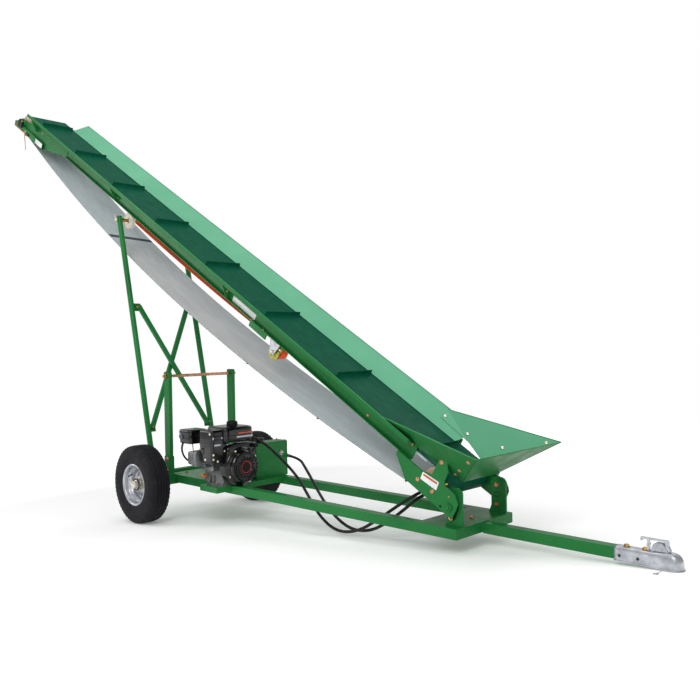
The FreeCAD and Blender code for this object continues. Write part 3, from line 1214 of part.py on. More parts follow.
# ---------------------------------------------------------------- assembly
def root_pieces():
    pieces = {}
    pieces.update(pair("rail", rail()))
    pieces["front_cross_tube"] = front_cross_tube()
    pieces["axle_beam"] = axle_beam()
    pieces["rear_frame"] = rear_frame()
    pieces.update(pair("post", post()))
    pieces["post_rod"] = post_rod()
    pieces["front_deck"] = front_deck()
    pieces["engine_deck"] = engine_deck()
    pieces["engine_bearer"] = engine_bearer()
    pieces["drawbar"] = drawbar()
    pieces["coupler_body"] = coupler_body()
    pieces["coupler_latch"] = coupler_latch()
    pieces.update(pair("pivot_bracket", pivot_bracket()))
    pieces["pivot_bearings"] = pivot_bearings()
    pieces["engine_block"] = engine_block()
    pieces["engine_fan_housing"] = engine_fan_housing()
    pieces["engine_cylinder"] = engine_cylinder()
    pieces["engine_air_cleaner"] = engine_air_cleaner()
    pieces["fuel_tank"] = fuel_tank()
    pieces["hydraulic_pump"] = hydraulic_pump()
    pieces["hydraulic_tank"] = hydraulic_tank()
    pieces["pressure_hose"] = hose(PRESSURE_HOSE)
    pieces["return_hose"] = hose(RETURN_HOSE)
    return pieces


def wheel_pieces():
    pieces = {}
    pieces.update(pair("tyre", tyre()))
    pieces.update(pair("rim", rim()))
    pieces.update(pair("hub", hub()))
    return pieces


def boom_pieces():
    pieces = {}
    pieces["belt"] = belt()
    pieces["head_drum"] = head_drum()
    pieces["tail_drum"] = tail_drum()
    pieces["slider_pan"] = slider_pan()
    pieces.update(pair("boom_channel", boom_channel()))
    pieces.update(pair("side_board", side_board()))
    pieces["boom_crossmembers"] = boom_crossmembers()
    pieces.update(pair("hopper_side", hopper_side()))
    pieces["hopper_front"] = hopper_front()
    pieces["side_plate_left"] = side_plate(SIDE_PLATE_OUTER + 1)
    pieces["side_plate_right"] = mirrored(side_plate(SIDE_PLATE_INNER))
    pieces["pivot_pins"] = pivot_pins()
    pieces.update(pair("takeup_arm", takeup_arm()))
    pieces["hydraulic_motor"] = hydraulic_motor()
    pieces["winch_bracket"] = winch_bracket()
    pieces["winch_frame"] = winch_frame()
    pieces["winch_gear"] = winch_gear()
    pieces["winch_strap"] = winch_strap()
    placed = {name: raise_boom(shape) for name, shape in pieces.items()}
    placed["hydraulic_motor"] = fuse([placed["hydraulic_motor"]] + motor_ports())
    return placed


def leg_pieces():
    pieces = {}
    pieces.update(pair("leg", leg()))
    pieces["leg_braces"] = leg_braces()
    pieces["roller_shaft"] = roller_shaft()
    pieces.update(pair("support_roller", support_roller()))
    return {name: lean_legs(shape) for name, shape in pieces.items()}


def parking_angle():
    """How far the machine tips forward about its wheels before the coupler's rim meets the ground."""
    ahead = COUPLER_NOSE - WHEEL_AXLE.x
    below = WHEEL_AXLE.z + COUPLER_RIM
    return math.degrees(math.asin(TYRE_RADIUS / math.hypot(ahead, below)) - math.atan2(below, ahead))


def park(shape):
    placed = shape.copy()
    placed.rotate(WHEEL_AXLE, Y_AXIS, parking_angle())
    placed.translate(Vector(0, 0, TYRE_RADIUS - WHEEL_AXLE.z))
    return placed


HOSES = ("pressure_hose", "return_hose")


def build_model():
    """Every node in the finished frame: +X to the hitch, +Z up, origin on the ground at mid length."""
    pieces = {}
    for group in (root_pieces(), wheel_pieces(), boom_pieces(), leg_pieces()):
        pieces.update(group)
    parked = {name: park(shape) for name, shape in pieces.items()}
    solid_ends = [shape.optimalBoundingBox(True, False) for name, shape in parked.items() if name not in HOSES]
    x_low = min(box.XMin for box in solid_ends)
    x_high = max(box.XMax for box in solid_ends)
    z_low = min(box.ZMin for box in solid_ends)
    shift = Vector(-(x_low + x_high) / 2, 0, -z_low)
    for shape in parked.values():
        shape.translate(shift)
    return parked, shift


def finished_point(point, shift):
    """Where a point of the level frame lies in the finished frame."""
    marker = park(Part.Vertex(point))
    return marker.Point + shift


def main():
    os.makedirs("parts", exist_ok=True)
    nodes, shift = build_model()
    for name, shape in nodes.items():
        shape.exportStep("parts/" + name + ".step")
    for label, points in (("pressure hose", PRESSURE_HOSE), ("return hose", RETURN_HOSE)):
        radii = hose_path(points)[1]
        print(label, "smallest bend radius", round(min(radii), 1), "mm")


if __name__ == "__main__":
    main()
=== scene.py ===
import json
import math

import bmesh
import bpy
import numpy as np
from mathutils import Matrix, Vector


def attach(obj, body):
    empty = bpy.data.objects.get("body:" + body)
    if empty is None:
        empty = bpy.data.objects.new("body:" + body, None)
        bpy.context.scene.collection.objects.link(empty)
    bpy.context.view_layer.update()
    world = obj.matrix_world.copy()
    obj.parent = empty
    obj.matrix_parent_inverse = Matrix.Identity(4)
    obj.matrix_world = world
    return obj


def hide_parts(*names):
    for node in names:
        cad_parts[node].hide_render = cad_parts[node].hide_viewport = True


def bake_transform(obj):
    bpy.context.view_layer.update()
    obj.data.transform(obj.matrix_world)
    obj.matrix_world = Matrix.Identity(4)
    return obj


bl_info = {
    "name": "Firewood conveyor",
    "version": (1, 0, 0),
    "blender": (4, 5, 0),
    "location": "3D View > Sidebar > Conveyor",
    "description": "Dresses a towed firewood conveyor with its surfaces, fittings and finishes",
    "category": "Object",
}

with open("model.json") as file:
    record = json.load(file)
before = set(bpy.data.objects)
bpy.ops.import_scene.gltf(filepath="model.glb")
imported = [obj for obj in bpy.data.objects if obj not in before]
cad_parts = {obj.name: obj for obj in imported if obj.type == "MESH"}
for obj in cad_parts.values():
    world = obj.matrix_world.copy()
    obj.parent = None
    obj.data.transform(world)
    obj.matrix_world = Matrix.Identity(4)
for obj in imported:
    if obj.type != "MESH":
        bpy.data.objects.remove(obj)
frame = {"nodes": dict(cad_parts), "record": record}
for spare in ("Cube", "Light", "Camera"):
    if spare in bpy.data.objects:
        bpy.data.objects.remove(bpy.data.objects[spare])
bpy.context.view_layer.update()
NODES = frame["nodes"]
JOINTS = {joint["name"]: joint for joint in frame["record"]["behaviour"]["joints"]}

# Three working frames, in metres.  level: the chassis standing level, X to the hitch, origin on the front
# cross tube.  boom: reach back along the boom, y, height above the belt.  leg: forward, y, height up the leg.
PIVOT = np.array([-0.054, 0.0, 0.092])
AXLE = np.array([-2.347, 0.0, -0.030])
LEG_FOOT = np.array([-2.535, 0.0, -0.025])
BOOM_ANGLE = math.radians(30.53)
PIVOT_DROP = 0.0965
LEG_LENGTH = 1.85187
LEG_LEAN = math.radians(12.6996)
TYRE_RADIUS = 0.252
WHEEL_Y = 0.469


def joint_place(name):
    return np.array(JOINTS[name]["pos_m"])


def tilt_between(level_span, parked_span):
    """The angle about Y that turns one span, in X and Z, into the other."""
    return math.atan2(level_span[2], level_span[0]) - math.atan2(parked_span[2], parked_span[0])


PARKED_PIVOT = joint_place("boom_lift")
PARK_TILT = tilt_between(AXLE - PIVOT, joint_place("wheel_left_spin") - PARKED_PIVOT)


def turned_about_y(points, angle):
    """Points turned about the Y axis: X' = X cos + Z sin, Z' = Z cos - X sin."""
    points = np.asarray(points, float)
    cos, sin = math.cos(angle), math.sin(angle)
    x, y, z = points[..., 0], points[..., 1], points[..., 2]
    return np.stack([x * cos + z * sin, y, z * cos - x * sin], -1)


def level(points):
    """From the level frame to the parked machine."""
    return turned_about_y(np.asarray(points, float) - PIVOT, PARK_TILT) + PARKED_PIVOT


def boom(points):
    """From the boom frame (reach, y, height) to the parked machine."""
    points = np.asarray(points, float)
    laid = np.stack([-points[..., 0], points[..., 1], points[..., 2] + PIVOT_DROP], -1)
    return level(turned_about_y(laid, BOOM_ANGLE) + PIVOT)


def leg(points):
    """From the leg frame (forward, y, height) to the parked machine."""
    return level(turned_about_y(points, -LEG_LEAN) + LEG_FOOT)


def parked(points):
    """The parked machine itself: points stay as they are."""
    return points


# ---------------------------------------------------------------- surfaces worked out with numpy
def unit(vectors):
    vectors = np.asarray(vectors, float)
    return vectors / np.linalg.norm(vectors, axis=-1, keepdims=True)


def basis(direction):
    """Two directions square to a given one, and that one."""
    along = unit(direction)
    helper = np.array([0.0, 0.0, 1.0]) if abs(along[2]) < 0.9 else np.array([1.0, 0.0, 0.0])
    across = unit(np.cross(helper, along))
    return across, np.cross(along, across), along


def quads(rows, columns, wrap_rows=False, wrap_columns=True):
    """Corners of each four-sided face of a grid of points, row by row."""
    row, column = np.meshgrid(np.arange(rows if wrap_rows else rows - 1),
                              np.arange(columns if wrap_columns else columns - 1), indexing="ij")
    next_row, next_column = (row + 1) % rows, (column + 1) % columns
    corners = [row * columns + column, row * columns + next_column,
               next_row * columns + next_column, next_row * columns + column]
    return np.stack(corners, -1).reshape(-1, 4)


def skin(points, paint=0, wrap_rows=False, wrap_columns=True, caps=True):
    """A grid of points as one part of a piece: its points, its faces and its finish number."""
    rows, columns = points.shape[:2]
    faces = [quads(rows, columns, wrap_rows, wrap_columns)]
    if caps and not wrap_rows:
        ring = np.arange(columns)
        faces += [ring[None, ::-1], (ring + (rows - 1) * columns)[None]]
    return points.reshape(-1, 3), faces, paint


def turned_grid(profile, base, direction, frame_map=level, steps=96):
    """Radius as a function of distance along an axle, carried round it:
    point = base + distance * axle + radius * (cos(a) * across + sin(a) * up)."""
    distance, radius = np.array(profile, float).T
    across, up, along = basis(direction)
    angle = np.linspace(0.0, math.tau, steps, endpoint=False)
    ring = np.cos(angle)[:, None] * across + np.sin(angle)[:, None] * up
    return frame_map(np.asarray(base, float) + distance[:, None, None] * along + radius[:, None, None] * ring)


def turned(profile, base, direction, frame_map=level, steps=48, paint=0):
    return skin(turned_grid(profile, base, direction, frame_map, steps), paint)


def outward(outline):
    """For each corner of a closed outline, the step that moves both its sides out by one."""
    ahead = unit(np.roll(outline, -1, 0) - outline)
    behind = np.roll(ahead, 1, 0)
    out_ahead = np.stack([ahead[:, 1], -ahead[:, 0]], -1)
    out_behind = np.stack([behind[:, 1], -behind[:, 0]], -1)
    share = 1.0 + (out_ahead * out_behind).sum(-1, keepdims=True)
    return (out_ahead + out_behind) / np.maximum(share, 0.3)


def lofted(outline, profile, base, across, up, along, frame_map=level, paint=0):
    """A closed outline carried along a direction, drawn in by an inset that depends on the distance:
    point = base + (u, v) - inset * outward + distance * along."""
    outline = np.array(outline, float)
    area = np.sum(outline[:, 0] * np.roll(outline[:, 1], -1) - outline[:, 1] * np.roll(outline[:, 0], -1))
    if area < 0:
        outline = outline[::-1]
    distance, inset = np.array(profile, float).T
    flat = outline[None] - inset[:, None, None] * outward(outline)[None]
    points = (np.asarray(base, float) + flat[..., :1] * np.asarray(across, float)
              + flat[..., 1:] * np.asarray(up, float) + distance[:, None, None] * np.asarray(along, float))
    return skin(frame_map(points), paint)


def soft_edge(low, high, radius, steps=4):
    """Distance and inset of a plate or block whose two rims are rounded by quarter circles."""
    angle = np.linspace(0.0, math.pi / 2, steps)
    start = np.stack([low + radius * (1 - np.sin(angle)), radius * (1 - np.cos(angle))], -1)[::-1]
    end = np.stack([high - radius * (1 - np.sin(angle)), radius * (1 - np.cos(angle))], -1)
    return np.concatenate([start, end])


def rounded_outline(corners, radius, steps=5):
    """A polygon with each corner replaced by a short curve: (1-t)^2 a + 2 t (1-t) b + t^2 c."""
    corners = np.array(corners, float)
    back = np.roll(corners, 1, 0) - corners
    ahead = np.roll(corners, -1, 0) - corners
    reach = np.minimum(radius, 0.45 * np.minimum(np.linalg.norm(back, axis=1), np.linalg.norm(ahead, axis=1)))
    first = corners + unit(back) * reach[:, None]
    last = corners + unit(ahead) * reach[:, None]
    t = np.linspace(0.0, 1.0, steps)[None, :, None]
    curve = (1 - t) ** 2 * first[:, None] + 2 * t * (1 - t) * corners[:, None] + t ** 2 * last[:, None]
    return curve.reshape(-1, 2)


def box_outline(low, high, radius, steps=5):
    return rounded_outline([(low[0], low[1]), (high[0], low[1]), (high[0], high[1]), (low[0], high[1])],
                           radius, steps)


X, Y, Z = np.eye(3)


def block(low, high, radius, frame_map=level, paint=0, rim=None, steps=5):
    """A block with rounded upright edges and softened rims, between two corners of a working frame."""
    low, high = np.array(low, float), np.array(high, float)
    outline = box_outline(low[:2], high[:2], radius, steps)
    rim = min(radius, 0.45 * (high[2] - low[2])) * 0.6 if rim is None else rim
    return lofted(outline, soft_edge(low[2], high[2], rim), (0, 0, 0), X, Y, Z, frame_map, paint)


def pillow(low, high, power, rows=18, columns=40):
    """A soft-cornered body: a sphere's latitude and longitude with each sine and cosine raised to 2/power."""
    low, high = np.array(low, float), np.array(high, float)
    centre, half = (low + high) / 2, (high - low) / 2
    latitude = np.linspace(-math.pi / 2 + 0.02, math.pi / 2 - 0.02, rows)[:, None]
    longitude = np.linspace(0, 2 * math.pi, columns, endpoint=False)[None]

    def bent(value):
        return np.sign(value) * np.abs(value) ** (2.0 / power)

    points = np.stack([bent(np.cos(latitude)) * bent(np.cos(longitude)),
                       bent(np.cos(latitude)) * bent(np.sin(longitude)),
                       bent(np.sin(latitude)) * np.ones_like(longitude)], -1)
    return skin(level(centre + half * points))


def swept(path, radius, frame_map=level, paint=0, steps=12, ripple=0.0, pitch=1.0, squash=1.0):
    """A round section carried along a path: point = path + radius * (cos(a) * side + sin(a) * lift),
    where side is square to the path and level, and a ripple may swell the radius along the way."""
    path = np.array(path, float)
    step = np.gradient(path, axis=0)
    along = unit(step)
    guide = np.array([0.0, 0.0, 1.0]) if np.abs(along[:, 2]).max() < 0.97 else np.array([0.31, 0.95, 0.02])
    side = unit(np.cross(guide, along))
    lift = np.cross(along, side)
    angle = np.linspace(0, 2 * math.pi, steps, endpoint=False)
    run = np.concatenate([[0.0], np.cumsum(np.linalg.norm(np.diff(path, axis=0), axis=1))])
    size = radius * (1 + ripple * np.sin(run / pitch * 2 * math.pi))
    ring = np.cos(angle)[None, :, None] * side[:, None] + squash * np.sin(angle)[None, :, None] * lift[:, None]
    return skin(frame_map(path[:, None] + size[:, None, None] * ring), paint)


def bent_path(points, samples=40):
    """A smooth line near a few points: repeated corner cutting (each span gives its 1/4 and 3/4 points)."""
    line = np.array(points, float)
    while len(line) < samples:
        quarter = line[:-1] * 0.75 + line[1:] * 0.25
        threequarter = line[:-1] * 0.25 + line[1:] * 0.75
        inner = np.stack([quarter, threequarter], 1).reshape(-1, 3)
        line = np.concatenate([line[:1], inner, line[-1:]])
    return line


def straight(start, end, count=2):
    t = np.linspace(0.0, 1.0, count)[:, None]
    return np.array(start, float) * (1 - t) + np.array(end, float) * t


def piece(name, parts, finishes, body, stands_for=(), sharp=34.0, slot_name=None):
    """One Blender object made of several parts, riding on a CAD body."""
    finishes = [finishes] if isinstance(finishes, str) else finishes
    corners, faces, paints, total = [], [], [], 0
    for points, part_faces, paint in parts:
        corners.append(points)
        shades = np.atleast_1d(paint)
        for group in part_faces:
            faces += (group + total).tolist()
            even = len(group) % len(shades) == 0
            paints += np.resize(shades if even else shades[:1], len(group)).tolist()
        total += len(points)
    mesh = bpy.data.meshes.new(name)
    mesh.from_pydata(np.concatenate(corners).tolist(), [], faces)
    mesh.polygons.foreach_set("material_index", paints)
    for finish in finishes:
        mesh.materials.append(finish_of(finish))
    tidy_surface(mesh)
    mesh.shade_smooth()
    mesh.set_sharp_from_angle(angle=math.radians(sharp))
    thing = in_scene(name, mesh)
    if stands_for:
        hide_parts(*stands_for)
    if body:
        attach(thing, body)
    slot_name or FINISHES[finishes[0]][0]
    return thing


def in_scene(name, data):
    thing = bpy.data.objects.new(name, data)
    bpy.context.scene.collection.objects.link(thing)
    return thing


def tidy_surface(mesh):
    """Merge doubled points and turn every face outwards."""
    bpy.context.view_layer.update()
    work = bmesh.new()
    work.from_mesh(mesh)
    bmesh.ops.remove_doubles(work, verts=work.verts, dist=1e-6)
    bmesh.ops.recalc_face_normals(work, faces=work.faces)
    work.to_mesh(mesh)
    work.free()
    mesh.update()


# ---------------------------------------------------------------- fasteners
HEXAGON = [(math.cos(a), math.sin(a)) for a in np.arange(6) * math.pi / 3]


def hex_bolt(place, direction, size, frame_map=level):
    """A hexagon head on a washer: head 0.88 sizes across the corners, washer 1.15 sizes."""
    lift = 0.16 * size
    rim = [(0, 0.2 * size), (0, 1.12 * size), (lift * 0.5, 1.15 * size), (lift, 1.1 * size), (lift, 0.2 * size)]
    head = [(lift, 0), (lift + 0.52 * size, 0), (lift + 0.62 * size, 0.1 * size),
            (lift + 0.64 * size, 0.3 * size)]
    return [turned(rim, place, direction, frame_map, 20),
            lofted(np.array(HEXAGON) * size * 0.88, head, place, *basis(direction), frame_map)]


def nut_and_thread(place, direction, size, frame_map=level):
    """A nut on a washer with the bolt's threaded end standing proud."""
    thread = [(0.2 * size, 0.42 * size), (1.15 * size, 0.42 * size), (1.22 * size, 0.34 * size)]
    return hex_bolt(place, direction, size, frame_map) + [turned(thread, place, direction, frame_map, 14)]


def dome_bolt(place, direction, size, frame_map=level):
    """A low domed head: height = 0.5 size * cos(a), radius = size * sin(a)."""
    angle = np.linspace(math.pi / 2, 0.06, 7)
    profile = np.stack([0.5 * size * np.cos(angle), size * np.sin(angle)], -1)
    return [turned(np.concatenate([[(-0.001, size)], profile]), place, direction, frame_map, 20)]


def grease_nipple(place, direction, size, frame_map=level):
    """A small nozzle: a foot, a neck and a ball end, as distance and radius in sizes."""
    profile = [(0, 0.75), (0.5, 0.75), (0.6, 0.45), (1.1, 0.4), (1.3, 0.62), (1.6, 0.6), (1.85, 0.3)]
    return [turned(np.array(profile) * size, place, direction, frame_map, 14)]


# ---------------------------------------------------------------- finishes
def linear(colour):
    """A colour written as display values from 0 to 255, as the linear values that a shader takes."""
    share = np.array(colour, float) / 255.0
    return tuple(np.where(share <= 0.04045, share / 12.92, ((share + 0.055) / 1.055) ** 2.4)) + (1.0,)


class Recipe:
    """A small helper that lays out one material's nodes."""

    def __init__(self, name):
        self.material = bpy.data.materials.new(name)
        self.material.use_nodes = True
        self.tree = self.material.node_tree
        self.shader = self.tree.nodes["Principled BSDF"]
        self.place = self.add("ShaderNodeTexCoord").outputs["Object"]

    def feed(self, node, values):
        """Links a node's inputs to other sockets, or sets their constants."""
        for key, value in values.items():
            socket = node.inputs[key.replace("_", " ") if isinstance(key, str) else key]
            if isinstance(value, bpy.types.NodeSocket):
                self.tree.links.new(value, socket)
            else:
                socket.default_value = value
        return node

    def add(self, kind, settings=None, **sockets):
        made = self.tree.nodes.new(kind)
        for key, value in (settings or {}).items():
            setattr(made, key, value)
        return self.feed(made, sockets)

    def aligned(self, angle=0.0, scale=(1, 1, 1)):
        """Object coordinates turned about Y, so that a pattern follows the boom."""
        return self.add("ShaderNodeMapping", Vector=self.place, Rotation=(0, angle, 0),
                        Scale=scale).outputs["Vector"]

    def noise(self, scale, detail=3.0, roughness=0.55, vector=None):
        return self.add("ShaderNodeTexNoise", Vector=vector or self.place, Scale=scale, Detail=detail,
                        Roughness=roughness).outputs["Fac"]

    def wave(self, vector, axis, scale):
        bands = self.add("ShaderNodeTexWave", {"bands_direction": axis}, Vector=vector, Scale=scale)
        return bands.outputs["Fac"]

    def ranged(self, value, low, high, out_low=0.0, out_high=1.0):
        made = self.add("ShaderNodeMapRange", Value=value)
        return self.feed(made, {1: low, 2: high, 3: out_low, 4: out_high}).outputs["Result"]

    def patches(self, scale, detail, low, high, out_low=0.0, out_high=1.0, roughness=0.55):
        """Noise stretched between two of its levels."""
        return self.ranged(self.noise(scale, detail, roughness), low, high, out_low, out_high)

    def maths(self, operation, first, second):
        made = self.add("ShaderNodeMath", {"operation": operation})
        return self.feed(made, {0: first, 1: second}).outputs[0]

    def mixed(self, share, first, second):
        made = self.add("ShaderNodeMix", {"data_type": "RGBA"})
        return self.feed(made, {0: share, 6: first, 7: second}).outputs[2]

    def toned(self, share, shade, colour):
        return self.mixed(share, linear(shade), linear(colour))

    def bumped(self, height, strength, distance):
        return self.add("ShaderNodeBump", Height=height, Strength=strength, Distance=distance).outputs["Normal"]

    def set(self, **sockets):
        self.feed(self.shader, sockets)
        return self.material


def enamel(name, colour, shade, roughness=0.26, coat=0.03, peel=0.003, dust=0.04, painted_shade_below=None):
    """Sprayed paint: a slow change of tone, fine orange peel, thinner gloss in patches and a little dust.

    With a colour of painted shade for the under side, a face turns to it as its normal leaves the upward half,
    so downward faces are painted darker as if in shade.
    """
    r = Recipe(name)
    base = r.toned(r.patches(2.6, 4.0, 0.35, 0.68), shade, colour)
    if painted_shade_below:
        normal = r.add("ShaderNodeNewGeometry").outputs["Normal"]
        facing = r.add("ShaderNodeSeparateXYZ", Vector=normal).outputs["Z"]
        # painted shade: faces turned downwards take the darker under-side colour
        base = r.mixed(r.ranged(facing, 0.50, 0.66), linear(painted_shade_below), base)
    base = r.mixed(r.patches(17.0, 6.0, 0.60, 0.82, 0.0, dust, 0.7), base, linear((150, 146, 130)))
    gloss = r.patches(9.0, 5.0, 0.3, 0.75, roughness * 0.75, roughness * 1.5, 0.65)
    return r.set(Base_Color=base, Roughness=gloss, Normal=r.bumped(r.noise(260.0, 1.0), peel, 0.001),
                 Coat_Weight=coat, Coat_Roughness=0.15, Specular_IOR_Level=0.13)


def plated(name, colour, shade, roughness=0.34, spangle=55.0, bump=0.05):
    """Zinc plate: metal with faint cloudy grains and fine scratches."""
    r = Recipe(name)
    cell = r.add("ShaderNodeTexVoronoi", Vector=r.place, Scale=spangle).outputs["Distance"]
    cloud = r.patches(26.0, 5.0, 0.3, 0.72, roughness=0.6)
    base = r.mixed(r.ranged(cell, 0.1, 0.7, 0.0, 0.25), r.toned(cloud, shade, colour), linear(colour))
    scratch = r.noise(600.0, 2.0, 0.5, r.aligned(0.4, (1.0, 1.0, 0.06)))
    gloss = r.ranged(cloud, 0.0, 1.0, roughness * 1.35, roughness * 0.75)
    return r.set(Base_Color=base, Metallic=0.92, Roughness=gloss, Normal=r.bumped(scratch, bump, 0.0006))


def moulded(name, colour, shade, roughness=0.45, grain=900.0, bump=0.12, coat=0.0, dust=0.12, shine=0.3):
    """Moulded plastic or rubber: fine grain, slightly uneven sheen, and dust in patches."""
    r = Recipe(name)
    base = r.toned(r.patches(11.0, 4.0, 0.3, 0.7), shade, colour)
    base = r.mixed(r.patches(34.0, 6.0, 0.58, 0.8, 0.0, dust, 0.7), base, linear((128, 122, 110)))
    gloss = r.patches(22.0, 4.0, 0.3, 0.7, roughness * 0.8, roughness * 1.25)
    return r.set(Base_Color=base, Roughness=gloss, Coat_Weight=coat, Specular_IOR_Level=shine,
                 Normal=r.bumped(r.noise(grain, 3.0), bump, 0.0006))


def cast_metal(name, colour, shade, roughness=0.42, grain=520.0, bump=0.25):
    r = Recipe(name)
    tone = r.patches(30.0, 6.0, 0.3, 0.72, roughness=0.65)
    return r.set(Base_Color=r.toned(tone, shade, colour), Metallic=0.85,
                 Roughness=r.ranged(tone, 0, 1, roughness * 1.3, roughness * 0.8),
                 Normal=r.bumped(r.noise(grain, 3.0), bump, 0.0006))


def turned_metal(name, colour, shade, roughness=0.25):
    """Bright turned bar: fine rings across the axle."""
    r = Recipe(name)
    ring = r.add("ShaderNodeTexWave", {"bands_direction": "Y"}, Vector=r.place, Scale=190.0, Distortion=0.6)
    return r.set(Base_Color=r.toned(r.patches(18.0, 4.0, 0.3, 0.7), shade, colour), Metallic=0.95,
                 Roughness=roughness, Normal=r.bumped(ring.outputs["Fac"], 0.08, 0.0004))


def belt_cover(name, colour, shade):
    """Green PVC belt face: satin, with the carcass cloth showing faintly through and scuffs along the run."""
    r = Recipe(name)
    run = r.aligned(BOOM_RUN)
    scuff = r.noise(6.0, 6.0, 0.7, r.aligned(BOOM_RUN, (0.25, 3.0, 3.0)))
    base = r.toned(r.ranged(scuff, 0.32, 0.7), shade, colour)
    base = r.mixed(r.patches(28.0, 5.0, 0.62, 0.85, 0.0, 0.10, 0.7), base, linear((48, 104, 84)))
    cloth = r.maths("MULTIPLY", r.wave(run, "X", 330.0), r.wave(run, "Y", 330.0))
    return r.set(Base_Color=base, Roughness=r.ranged(scuff, 0.3, 0.7, 0.5, 0.4), Specular_IOR_Level=0.03,
                 Normal=r.bumped(cloth, 0.04, 0.0004))


def belt_cloth(name, colour, shade):
    """Grey carcass cloth of the belt's inner face: plain weave, a little polished by the drums."""
    r = Recipe(name)
    run = r.aligned(BOOM_RUN)
    weave = r.maths("ADD", r.wave(run, "X", 240.0), r.wave(run, "Y", 240.0))
    stain = r.ranged(r.noise(5.0, 6.0, 0.7, r.aligned(BOOM_RUN, (0.3, 3.0, 1.0))), 0.3, 0.72)
    base = r.mixed(r.ranged(weave, 0.4, 1.8, 0.12, 0.0), r.toned(stain, shade, colour), linear((90, 96, 100)))
    return r.set(Base_Color=base, Roughness=0.6, Specular_IOR_Level=0.25, Normal=r.bumped(weave, 0.12, 0.0005))


def webbing(name, colour, shade):
    """Ratchet webbing: lengthwise ribs crossed by a tight twill."""
    r = Recipe(name)
    run = r.aligned(BOOM_RUN)
    weave = r.maths("MULTIPLY", r.wave(run, "Y", 120.0), r.wave(run, "DIAGONAL", 260.0))
    return r.set(Base_Color=r.toned(r.ranged(weave, 0.0, 1.0), shade, colour), Roughness=0.72,
                 Specular_IOR_Level=0.2, Normal=r.bumped(weave, 0.25, 0.0008))


def hose_cover(name, colour, shade):
    """Braided hose under a rubber cover: the braid shows as a faint diamond pattern."""
    r = Recipe(name)
    braid = r.maths("MULTIPLY", r.wave(r.aligned(0.6), "X", 210.0), r.wave(r.aligned(-0.9), "Z", 210.0))
    return r.set(Base_Color=r.toned(r.patches(13.0, 4.0, 0.3, 0.7), shade, colour),
                 Roughness=r.patches(30.0, 4.0, 0.3, 0.7, 0.3, 0.5), Specular_IOR_Level=0.3,
                 Normal=r.bumped(braid, 0.15, 0.0005))


def tyre_rubber(name, colour, shade):
    r = Recipe(name)
    base = r.toned(r.patches(7.0, 4.0, 0.3, 0.7), shade, colour)
    base = r.mixed(r.patches(14.0, 6.0, 0.5, 0.8, 0.0, 0.10, 0.7), base, linear((70, 68, 66)))
    return r.set(Base_Color=base, Roughness=r.patches(26.0, 5.0, 0.3, 0.7, 0.5, 0.72),
                 Specular_IOR_Level=0.12, Normal=r.bumped(r.noise(700.0, 3.0), 0.2, 0.0008))


BOOM_RUN = BOOM_ANGLE + PARK_TILT

